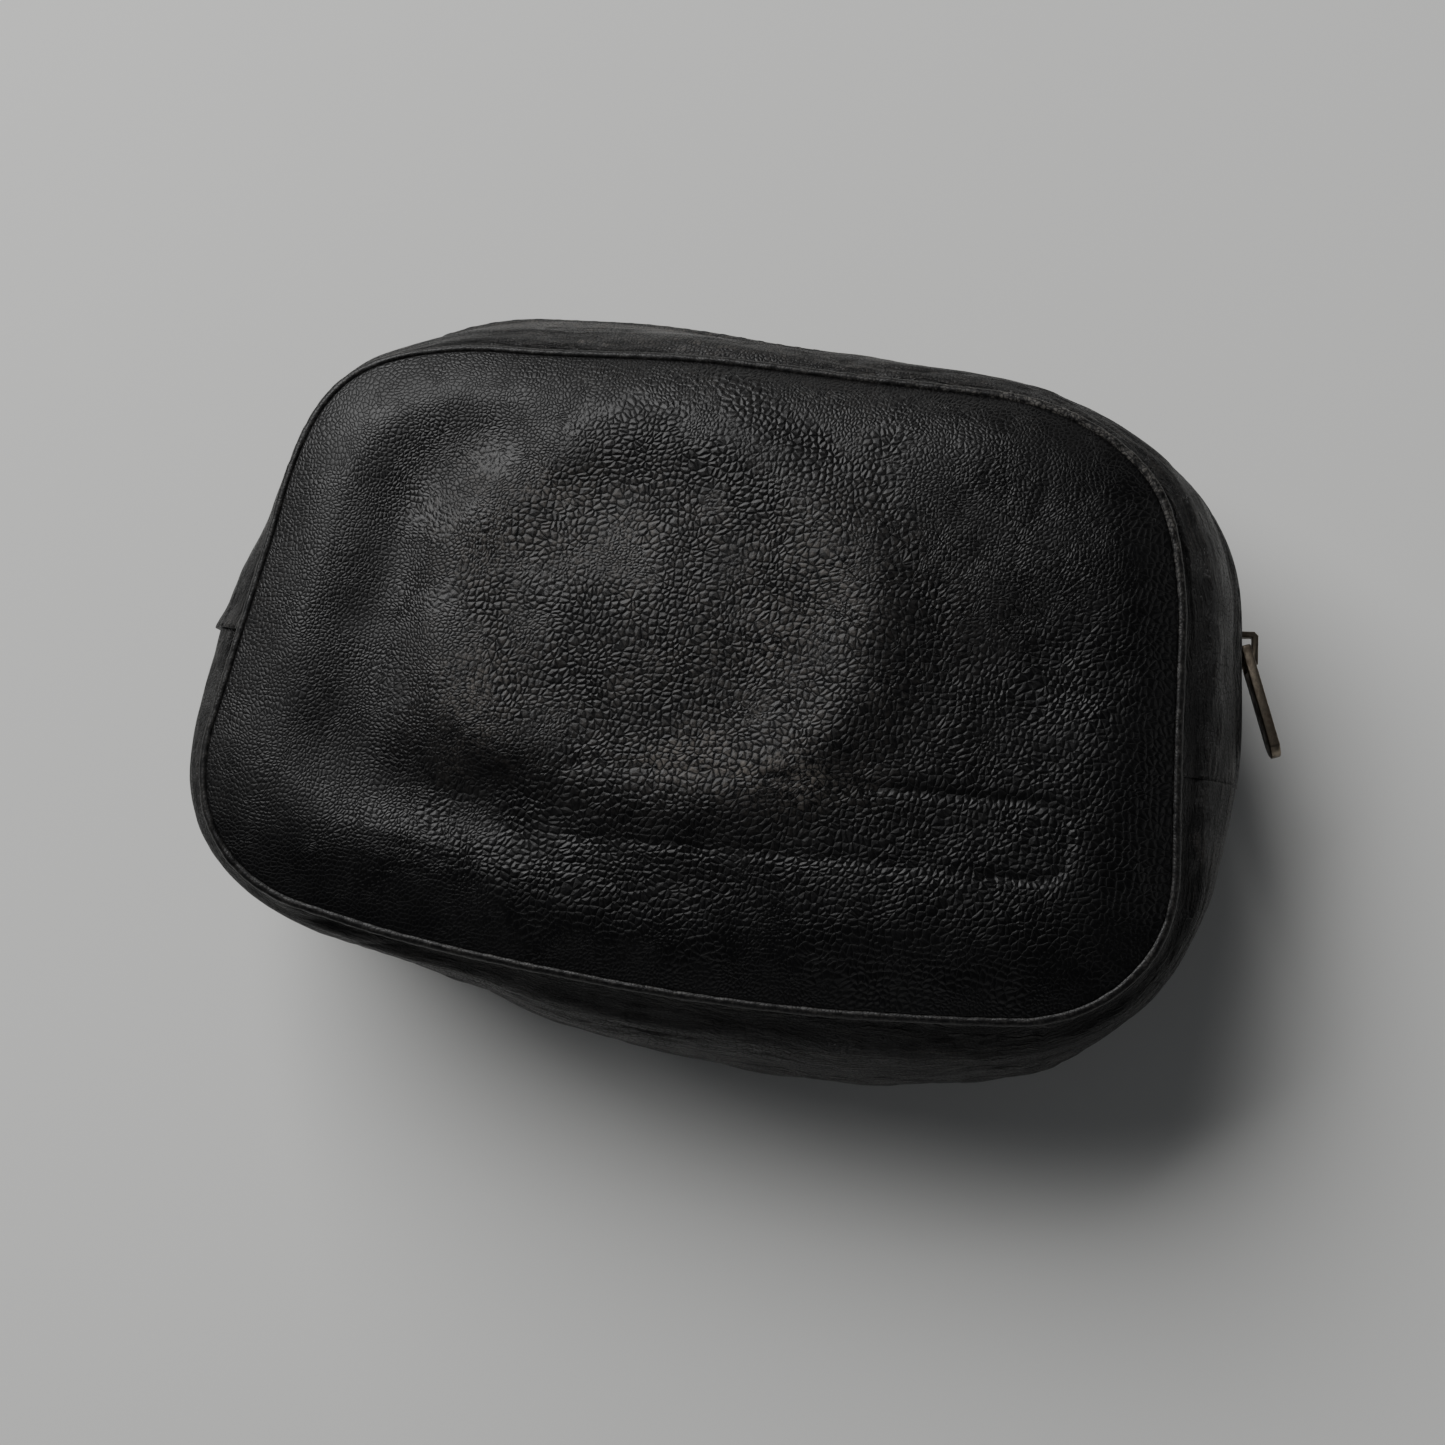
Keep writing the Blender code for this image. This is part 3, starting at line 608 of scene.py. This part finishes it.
def back_height(flat, inside, share):
    x, y = flat[..., 0], flat[..., 1]
    t = np.clip(1.0 - inside / 13.0, 0.0, 1.0)
    soft = 0.2 * (1 + smooth_noise(x / 16, y / 14, 31)) + 0.03 * (1 + smooth_noise(x / 2, y / 2, 32))
    return 3.6 * t**2.3 + soft * np.clip(inside / 12, 0, 1) * np.clip(t * 6 + 0.05, 0, 1)


def even_wear(points):
    x, y, z = points[:, 0], points[:, 1], points[:, 2]
    rub_and_highlight = 0.25 * (1 + smooth_noise(x / 9, y / 9, 41)) * np.clip(np.hypot(x / 70, y / 46), 0, 1) ** 3
    return {"rub_and_highlight": rub_and_highlight, "grain": 0.55 + 0.3 * smooth_noise(x / 20, y / 20, 42)}


def swell(piece, voxel=1.8, most=0.35):
    """Lets a pad swell like foam let go, keeps no point further than a limit from where it was, and smooths it."""
    bpy.ops.object.select_all(action="DESELECT")
    bpy.context.view_layer.objects.active = piece
    even = piece.modifiers.new("even", "REMESH")
    even.mode = "VOXEL"
    even.voxel_size = voxel * MM
    bpy.ops.object.modifier_apply(modifier=even.name)
    count = len(piece.data.vertices)
    before = np.zeros(count * 3)
    piece.data.vertices.foreach_get("co", before)
    cloth = piece.modifiers.new("swelling", "CLOTH")
    cloth.settings.use_pressure = True
    cloth.settings.uniform_pressure_force = 4.0
    cloth.settings.effector_weights.gravity = 0.0
    cloth.point_cache.frame_start = 1
    cloth.point_cache.frame_end = 20
    for step in range(1, 21):
        bpy.context.scene.frame_set(step)
    swollen = piece.evaluated_get(bpy.context.evaluated_depsgraph_get())
    after = np.zeros(count * 3)
    swollen.data.vertices.foreach_get("co", after)
    piece.modifiers.remove(cloth)
    moved = (after - before).reshape(-1, 3)
    reach = np.maximum(np.linalg.norm(moved, axis=1, keepdims=True), 1e-9)
    moved *= np.minimum(1.0, most * MM / reach)
    piece.data.vertices.foreach_set("co", (before.reshape(-1, 3) + moved).ravel())
    rounder = piece.modifiers.new("rounder", "SUBSURF")
    rounder.levels = rounder.render_levels = 1
    bpy.ops.object.modifier_apply(modifier=rounder.name)
    piece.data.shade_smooth()
    bpy.context.scene.frame_set(1)


def make_panels(half_count=80):
    piece = panel_piece("front_panel", half_count, 0.4, front_height, lambda *a: front_height(*a) - LEATHER, front_wear_and_highlights)
    dress(piece, BLACK_LEATHER, "leather", "front", "front_panel_lower", "front_panel_upper")

    piece = panel_piece("back_panel_cover", 50, 0.8, lambda *a: back_height(*a) + LEATHER, back_height, even_wear)
    dress(piece, BLACK_LEATHER, "leather", "case", "back_panel")

    def under_front(depth):
        return lambda flat, inside, share: front_height(flat, inside + 2.0, share) - depth

    def over_back(depth):
        return lambda flat, inside, share: back_height(flat, inside + 2.0, share) + depth

    piece = panel_piece("front_foam", 30, 3.4, under_front(LEATHER + 0.5), under_front(LEATHER + 3.1))
    swell(piece)
    dress(piece, FOAM, "foam", "front", "front_padding_lower", "front_padding_upper")
    piece = panel_piece("back_foam", 30, 3.4, over_back(LEATHER + 3.1), over_back(LEATHER + 0.5))
    swell(piece)
    dress(piece, FOAM, "foam", "case", "back_padding")
    piece = panel_piece("front_lining", 36, 2.6, under_front(LEATHER + 3.6), under_front(LEATHER + 4.1))
    dress(piece, LINING_CLOTH, "lining_cloth", "front", "front_lining_lower", "front_lining_upper")
    piece = panel_piece("back_lining_cloth", 36, 2.6, over_back(LEATHER + 4.1), over_back(LEATHER + 3.6))
    dress(piece, LINING_CLOTH, "lining_cloth", "case", "back_lining")


# ---------------------------------------------------------------- gusset


def gusset_relief(s, a):
    """How far the gusset's leather stands out at length s and angle a: pinched seams, rolls and wrinkles."""
    up = np.abs(a)
    pinch = -0.9 * np.exp(-(((up - 42.5) / 2.4) ** 2)) + 0.45 * np.exp(-(((up - 32.0) / 5.0) ** 2))
    turn = np.mod(s + HALF_LENGTH, 2 * HALF_LENGTH) - HALF_LENGTH
    low = 1.0 / (1.0 + np.exp(-(turn + 75.0) / 12.0)) / (1.0 + np.exp((turn - FOLD_S - 32.0) / 8.0))
    pinch = pinch - 1.1 * low * np.exp(-(((up - 37.5) / 4.5) ** 2)) + 0.5 * low * bump_at(up, 22.0, 7.0)
    rolls = 0.55 * smooth_noise(s / 21 + 0.5, a / 24 + 9.3, 51) + 0.22 * smooth_noise(s / 8, a / 11, 52)
    drift = 0.6 * smooth_noise(s / 16, a / 12, 53)
    wrinkles = 0.55 * creases(s / 13 + drift, a / 3.6 + 2.2 * drift, 54)
    wrinkles = wrinkles + 0.32 * creases(s / 6 + drift, a / 2.2 - 1.5 * drift, 55)
    wrinkles = wrinkles * (0.55 + 0.45 * smooth_noise(s / 15, a / 15, 56))
    crossing = 0.22 * creases(s / 2.6 + a / 16, a / 14 + drift, 57) * np.clip(smooth_noise(s / 19, a / 19, 58), 0, 1)
    small = 0.03 * smooth_noise(s / 1.3, a / 2.2, 59)
    return pinch + rolls + wrinkles + crossing + small


def lower_relief(s, a):
    """The lower gusset has slumped into a long sharp roll at its bottom left, hollow underneath."""
    turn = np.mod(s + HALF_LENGTH, 2 * HALF_LENGTH) - HALF_LENGTH
    along = np.exp(-(((turn + 18.0) / 30.0) ** 2))
    under = np.clip((1.0 - a) / 9.0, 0.0, 1.0)
    under = under * under * (3 - 2 * under)
    roll = 0.9 * np.exp(-(((a - 3.0) / 3.5) ** 2)) - 3.2 * under * np.exp(-(((a + 14) / 20) ** 2))
    return gusset_relief(s, a) + along * roll


def strip_relief(s, a):
    """The same leather by the zip, where its turned edge holds it flat."""
    hold = np.clip((np.abs(a) - 10.5) / 5.0, 0.0, 1.0)
    row = -0.12 * np.exp(-(((np.abs(a) - 10.8) / 0.8) ** 2))
    turned = 0.3 / (1 + np.exp((np.abs(a) - 12.6) / 0.35))
    ends = 0.6 * bump_at(s, FOLD_FAR_S, 2.2) * hold
    return gusset_relief(s, a) * hold + row + turned + ends - 0.12


def gusset_wear_and_highlight(s, angles, lift):
    """Scuffing and painted highlight on a gusset piece, from its stations and angles: strongest along the top and on
    the rolls, where the lighter band is partly scuffing and partly painted highlight.
    """
    s, a = s[:, None], angles[None, :]
    top = bump_at(s, HALF_LENGTH + 6.0, 50.0)
    rub_and_highlight = lift * top * (bump_at(a, 20.0, 8.0) + 0.8 * bump_at(a, 37.5, 1.8) * np.clip(smooth_noise(s / 1.4, a / 9, 64), 0, 1))
    rub_and_highlight = rub_and_highlight + 0.12 * np.clip(smooth_noise(s / 7, a / 7, 61), 0, 1) + 0.3 * lift * top
    grain = 0.35 + 0.35 * smooth_noise(s / 14, a / 14, 62) - 0.3 * top
    fold = 0.75 + 0.45 * smooth_noise(s / 11, a / 9, 63) - 0.6 * top
    crack = lift * bump_at(s, HALF_LENGTH + 52.0, 16.0) + 0.0 * a
    return {"rub_and_highlight": np.clip(rub_and_highlight, 0, 1.2), "grain": np.clip(grain, 0, 1), "fold": np.clip(fold, 0.05, 1), "crack": crack}


def edge_angle(across):
    return math.degrees(across / ARC_R)


SEAM_ANGLE = 44.6
UNDER_TAPE = TAPE_DEPTH + 0.8


def make_gusset():
    half = LEATHER / 2
    s = np.linspace(FOLD_FAR_S - 2 * HALF_LENGTH, FOLD_S, 330)
    sections, angles = wall_sections(s, -SEAM_ANGLE, SEAM_ANGLE, -half, LEATHER, 96, lower_relief)
    piece = swept_piece("lower_gusset_leather", s, sections, False, gusset_wear_and_highlight(s, angles, 0.0))
    dress(piece, BLACK_LEATHER, "leather", "case", "lower_gusset")
    sections, _ = wall_sections(s[::6], -SEAM_ANGLE + 2, SEAM_ANGLE - 2, half + 0.3, 0.5, 24)
    piece = swept_piece("lower_gusset_cloth", s[::6], sections, False)
    dress(piece, LINING_CLOTH, "lining_cloth", "case", "lower_gusset_lining")

    s = np.linspace(FOLD_S + 0.05, FOLD_FAR_S - 0.05, 330)
    for side, name, body in ((1, "front", "front"), (-1, "back", "case")):
        low, high = sorted((side * edge_angle(STRIP_GAP), side * SEAM_ANGLE))
        sections, angles = wall_sections(s, low, high, -half, LEATHER, 56, strip_relief)
        wear_and_highlight = gusset_wear_and_highlight(s, angles, 0.9 if side > 0 else 0.5)
        piece = swept_piece(name + "_strip_leather", s, sections, False, wear_and_highlight)
        dress(piece, BLACK_LEATHER, "leather", body, name + "_zip_strip")
        low, high = sorted((side * edge_angle(STRIP_GAP), side * (SEAM_ANGLE - 2)))
        sections, _ = wall_sections(s[::6], low, high, UNDER_TAPE, 0.5, 20)
        piece = swept_piece(name + "_strip_cloth", s[::6], sections, False)
        dress(piece, LINING_CLOTH, "lining_cloth", body, name + "_strip_lining")


# ---------------------------------------------------------------- seams


def round_tube(s, offset, z, radius, sides, ripple=None):
    """A tube along the seam line. ripple adds to its radius at each length and turn."""
    turn = np.linspace(0, 2 * math.pi, sides, endpoint=False)[None, :]
    r = np.full((len(s), sides), radius)
    if ripple is not None:
        r = r + ripple(s[:, None], turn)
    return np.stack([offset + r * np.cos(turn), z + r * np.sin(turn)], -1)


def piping_ripple(s, turn):
    fine = 0.05 * smooth_noise(s / 1.1, turn * 1.3 + 20, 71) + 0.04 * smooth_noise(s / 4.0, turn + 7, 72)
    return fine - 0.05 * np.abs(np.sin(math.pi * s / 2.9)) ** 8


def make_seams():
    full = np.linspace(0, 2 * HALF_LENGTH, 900, endpoint=False)
    coarse = full[::4]
    # The piping is lighter all round from scuffing, and much lighter along the top by the right corner: partly
    # scuffing, partly painted highlight.
    top = bump_at(full, TOP_CORNER + 8.0, 26.0)[:, None] + np.zeros((1, 14))
    wear_and_highlight = {"rub_and_highlight": 0.35 + 1.1 * top, "grain": np.full((900, 14), 0.1)}
    for name, z, body, nodes, cords in (
        ("front", FRONT_Z + 0.3, "front", ("front_piping_lower", "front_piping_upper"), ("front_piping_cord_lower", "front_piping_cord_upper")),
        ("back", BACK_Z - 0.3, "case", ("back_piping",), ("back_piping_cord",)),
    ):
        piece = swept_piece(name + "_welt", full, round_tube(full, 0.2, z, 0.74, 14, piping_ripple), True, wear_and_highlight)
        dress(piece, PIPING_LEATHER, "piping_leather", body, *nodes)
        piece = swept_piece(name + "_welt_cord", coarse, round_tube(coarse, 0.2, z, 0.4, 6), True)
        dress(piece, COTTON, "cord", body, *cords)
    for side, name, body, nodes in (
        (1, "front", "front", ("front_seam_binding_lower", "front_seam_binding_upper")),
        (-1, "back", "case", ("back_seam_binding",)),
    ):
        low, high = sorted((31.0 * side, 41.0 * side))
        sections, _ = wall_sections(coarse, low, high, UNDER_TAPE + 0.9, 0.8, 12)
        piece = swept_piece(name + "_seam_tape", coarse, sections, True)
        dress(piece, BINDING_CLOTH, "binding_tape", body, *nodes)


make_panels()
make_gusset()
make_seams()


# ---------------------------------------------------------------- zip

CHAIN_OFFSET = BULGE - TAPE_DEPTH
TOOTH_PITCH = 2.4


def chain_table():
    """Lengths along the chain from the middle of the top, and the seam lengths they belong to."""
    s = np.linspace(FOLD_S, HALF_LENGTH, 3000)
    points = place(s, np.full(len(s), CHAIN_OFFSET), ZIP_Z)
    steps = np.linalg.norm(np.diff(points, axis=0), axis=1)
    distance = np.concatenate([[0.0], np.cumsum(steps)])
    return distance[-1] - distance, s


CHAIN_DISTANCE, CHAIN_S = chain_table()


def chain_s(distance):
    """The seam length at a distance along the chain from the middle of the top, positive to the right."""
    s = np.interp(np.abs(distance), CHAIN_DISTANCE[::-1], CHAIN_S[::-1])
    return np.where(np.asarray(distance) >= 0, s, 2 * HALF_LENGTH - s)


SLIDER_DISTANCE = float(np.interp(-ARCS[3][3], -CHAIN_S[::-1], CHAIN_DISTANCE[::-1]))
CHAIN_FAR_END = SLIDER_DISTANCE + 15.0


def chain_frame(distance, across=0.0, out=0.0):
    """A frame on the chain in millimetres: x along it, y across it and z outwards."""
    s = float(chain_s(distance))
    point, normal = seam(np.array([s]))
    outwards = Vector((*normal[0], 0.0))
    up = Vector((0.0, 0.0, 1.0))
    made = Matrix((up.cross(outwards), up, outwards)).transposed().to_4x4()
    made.translation = Vector(place(np.array([s]), np.array([CHAIN_OFFSET + out]), ZIP_Z + across)[0])
    return made


def start_piece(name):
    """The newest primitive becomes a piece with this name."""
    obj = bpy.context.object
    obj.name = obj.data.name = name
    return obj


def finish_shape(obj, width, segments=2, angle=30.0):
    """Rounds the edges of the piece, and leaves its place in its mesh."""
    bevel = obj.modifiers.new("rounding", "BEVEL")
    bevel.width = width * MM
    bevel.segments = segments
    bevel.limit_method = "ANGLE"
    bevel.angle_limit = math.radians(angle)
    bevel.harden_normals = False
    bpy.context.view_layer.objects.active = obj
    obj.select_set(True)
    bpy.ops.object.modifier_apply(modifier=bevel.name)
    obj.data.shade_smooth()
    obj.data.set_sharp_from_angle(angle=math.radians(40))


def select_faces(obj, test):
    """In edit mode, selects just the faces whose middle and normal pass the test."""
    bpy.ops.mesh.select_all(action="DESELECT")
    bm = bmesh.from_edit_mesh(obj.data)
    for face in bm.faces:
        face.select = test(face.calc_center_median() / MM, face.normal)
    bmesh.update_edit_mesh(obj.data)


def make_tooth():
    """One tooth with its nose towards -y: x along the chain, z through the tape."""
    bpy.ops.object.select_all(action="DESELECT")
    bpy.ops.mesh.primitive_cube_add(size=1.0, location=(0.0, 0.0, 0.0))
    tooth = start_piece("tooth")
    bpy.ops.object.mode_set(mode="EDIT")
    bpy.ops.transform.resize(value=(1.05 * MM, 1.9 * MM, 2.1 * MM))
    bpy.ops.transform.translate(value=(0.0, 1.1 * MM, 0.0))
    select_faces(tooth, lambda middle, normal: normal.y < -0.9)
    bpy.ops.mesh.extrude_region_move(TRANSFORM_OT_translate={"value": (0.0, -0.6 * MM, 0.0)})
    bpy.ops.transform.resize(value=(0.86, 1.0, 0.92))
    bpy.ops.mesh.extrude_region_move(TRANSFORM_OT_translate={"value": (0.0, -0.45 * MM, 0.0)})
    bpy.ops.transform.resize(value=(0.66, 1.0, 0.72))
    bpy.ops.object.mode_set(mode="OBJECT")
    finish_shape(tooth, 0.12, 1)
    return tooth


def repeated(pattern, name, matrices):
    """One piece of copies of a small pattern, each carried by its own matrix."""
    co = np.zeros(len(pattern.data.vertices) * 3)
    pattern.data.vertices.foreach_get("co", co)
    co = co.reshape(-1, 3) / MM
    polygons = [tuple(p.vertices) for p in pattern.data.polygons]
    points, faces = [], []
    for k, matrix in enumerate(matrices):
        m = np.array(matrix)
        points.append(co @ m[:3, :3].T + m[:3, 3])
        faces += [tuple(i + k * len(co) for i in face) for face in polygons]
    piece = mesh_piece(name, np.concatenate(points), faces)
    piece.data.set_sharp_from_angle(angle=math.radians(35))
    return piece


def make_chain():
    tooth = make_tooth()
    first = SLIDER_DISTANCE + TOOTH_PITCH / 2
    for side, name, body, start in ((1, "front", "front", first), (-1, "back", "case", first - TOOTH_PITCH / 2)):
        turn = Matrix.Identity(4) if side > 0 else Matrix.Rotation(math.pi, 4, "Z")
        distances = np.arange(start, -CHAIN_FAR_END, -TOOTH_PITCH)
        matrices = [chain_frame(d) @ turn for d in distances]
        piece = repeated(tooth, name + "_teeth", matrices)
        dress(piece, OLD_METAL, "zip_metal", body, name + "_zip_teeth")
    bpy.data.objects.remove(tooth)


def make_tapes():
    """A flat woven tape with a thick edge for the teeth. Past the ends of the chain the two edges meet."""
    s = np.linspace(FOLD_S + 0.1, FOLD_FAR_S - 0.1, 300)
    right_end = float(chain_s(SLIDER_DISTANCE + 5.0))
    left_end = float(chain_s(-CHAIN_FAR_END - 2.0))
    past = np.clip((right_end - s) / 3.0, 0, 1) + np.clip((s - left_end) / 3.0, 0, 1)
    edge = 1.35 - 1.15 * past
    turn = np.linspace(0.5 * math.pi, 1.5 * math.pi, 7)
    for side, name, body in ((1, "front", "front"), (-1, "back", "case")):
        flat = np.linspace(0.12, 1.0, 10)[None, :]
        reach = 11.5
        out_across = edge[:, None] + (reach - edge[:, None]) * flat
        bead_across = edge[:, None] + 0.42 + 0.5 * np.cos(turn)[None, :]
        bead_depth = np.repeat((TAPE_DEPTH - 0.5 * np.sin(turn))[None, :], len(s), 0)
        across = np.concatenate([bead_across[:, ::-1], out_across, out_across[:, ::-1]], 1)
        weave = 0.03 * smooth_noise(s[:, None] / 3.0, flat * 6, 81)
        depth = np.concatenate(
            [bead_depth[:, ::-1], TAPE_DEPTH + 0.27 + weave, TAPE_DEPTH - 0.27 + weave[:, ::-1]], 1
        )
        radius = ARC_R - depth
        theta = side * across / ARC_R
        sections = np.stack([BULGE - ARC_R + radius * np.cos(theta), ZIP_Z + radius * np.sin(theta)], -1)
        piece = swept_piece(name + "_tape", s, sections, False)
        dress(piece, ZIP_CLOTH, "zip_tape", body, name + "_zip_tape")


def make_stitches():
    """Top stitching along the turned edge of each zip strip."""
    pitch, length, radius = 2.9, 2.25, 0.17
    t = np.array([0.0, 0.1, 0.35, 0.65, 0.9, 1.0])
    width = np.array([0.25, 0.85, 1.0, 1.0, 0.85, 0.25]) * radius
    lift = 0.24 * (1 - (2 * t - 1) ** 4) - 0.2
    turn = np.linspace(0, 2 * math.pi, 6, endpoint=False)
    count = int((FOLD_FAR_S - FOLD_S - 4) / pitch)
    starts = FOLD_S + 2.0 + pitch * np.arange(count)
    rings, sides = len(t), len(turn)
    for side, name, body in ((1, "front", "front"), (-1, "back", "case")):
        s = starts[:, None, None] + (t * length)[None, :, None] + np.zeros((1, 1, sides))
        across = 10.8 * ARC_R * math.pi / 180 + (width[:, None] * np.cos(turn))[None] + 0 * s
        depth = -LEATHER / 2 + 0.05 - lift[:, None] - width[:, None] * np.sin(turn)
        radius_here = ARC_R - depth[None] + 0 * s
        theta = side * across / ARC_R
        points = place(s, BULGE - ARC_R + radius_here * np.cos(theta), 0.0)
        points[..., 2] = ZIP_Z + radius_here * np.sin(theta)
        faces = []
        for k in range(count):
            base = k * rings * sides
            for i in range(rings - 1):
                for j in range(sides):
                    a = base + i * sides + j
                    b = base + i * sides + (j + 1) % sides
                    faces.append((a, b, b + sides, a + sides))
            faces.append(tuple(base + j for j in range(sides)))
            faces.append(tuple(base + (rings - 1) * sides + j for j in range(sides)))
        piece = mesh_piece(name + "_stitches", points, faces)
        dress(piece, THREAD, "piping_leather", body)


def rounded_copy(node, name, width, segments=2):
    """A copy of a hard piece, merged and cleaned, with rounded edges."""
    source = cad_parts[node]
    mesh = source.data.copy()
    bm = bmesh.new()
    bm.from_mesh(mesh)
    bmesh.ops.remove_doubles(bm, verts=bm.verts, dist=1e-6)
    bmesh.ops.dissolve_limit(bm, angle_limit=math.radians(2), verts=bm.verts, edges=bm.edges)
    bm.to_mesh(mesh)
    bm.free()
    obj = bpy.data.objects.new(name, mesh)
    bpy.context.scene.collection.objects.link(obj)
    bpy.ops.object.select_all(action="DESELECT")
    finish_shape(obj, width, segments)
    return obj


def make_metal():
    for node, name, body, width in (
        ("slider_body", "slider", "slider", 0.16),
        ("pull_tab", "pull", "pull", 0.22),
        ("bottom_stop", "far_stop", "case", 0.08),
        ("back_top_stop", "back_end_stop", "case", 0.08),
    ):
        dress(rounded_copy(node, name, width), OLD_METAL, "zip_metal", body, node)
    stop = rounded_copy("front_top_stop", "front_end_stop", 0.08)
    dress(stop, OLD_METAL, "zip_metal", "front", "front_top_stop")


make_chain()
make_tapes()
make_stitches()
make_metal()


# ---------------------------------------------------------------- floor, light and camera


def make_stage():
    bpy.ops.object.select_all(action="DESELECT")
    bpy.ops.mesh.primitive_plane_add(size=6.0, location=(0.0, 0.0, 0.0))
    floor = start_piece("floor")
    f = Finish("pale_floor")
    f.set(Base_Color=colour(0.8, 0.8, 0.78), Roughness=0.9)
    f.shader.inputs["Specular IOR Level"].default_value = 0.1
    floor.data.materials.append(f.material)
    world = bpy.data.worlds.new("studio")
    bpy.context.scene.world = world
    world.use_nodes = True
    background = world.node_tree.nodes["Background"]
    background.inputs["Color"].default_value = colour(0.9, 0.94, 1.0)
    background.inputs["Strength"].default_value = 0.052


def add_light(name, place_mm, aim_mm, size, power):
    light = bpy.data.lights.new(name, "AREA")
    light.shape = "RECTANGLE"
    light.size, light.size_y = (v * MM for v in size)
    light.energy = power
    lamp = bpy.data.objects.new(name, light)
    lamp.location = Vector(place_mm) * MM
    lamp.rotation_euler = (Vector(aim_mm) - Vector(place_mm)).to_track_quat("-Z", "Y").to_euler()
    bpy.context.scene.collection.objects.link(lamp)


def make_camera():
    data = bpy.data.cameras.new("camera")
    data.lens = 52.63
    data.clip_start = 0.01
    camera = bpy.data.objects.new("camera", data)
    camera.location = Vector((45.19, -31.66, 343.16)) * MM
    camera.rotation_euler = [math.radians(v) for v in (6.06, 6.96, 9.57)]
    bpy.context.scene.collection.objects.link(camera)
    bpy.context.scene.camera = camera


make_stage()
add_light("window", (-672.0, 705.0, 940.0), (-10.0, 5.0, 40.0), (1150.0, 950.0), 20.5)
add_light("front_fill", (100.0, -1100.0, 330.0), (0.0, 0.0, 20.0), (900.0, 400.0), 0.6)
add_light("side_fill", (1100.0, 100.0, 330.0), (0.0, 0.0, 20.0), (700.0, 400.0), 0.4)
make_camera()
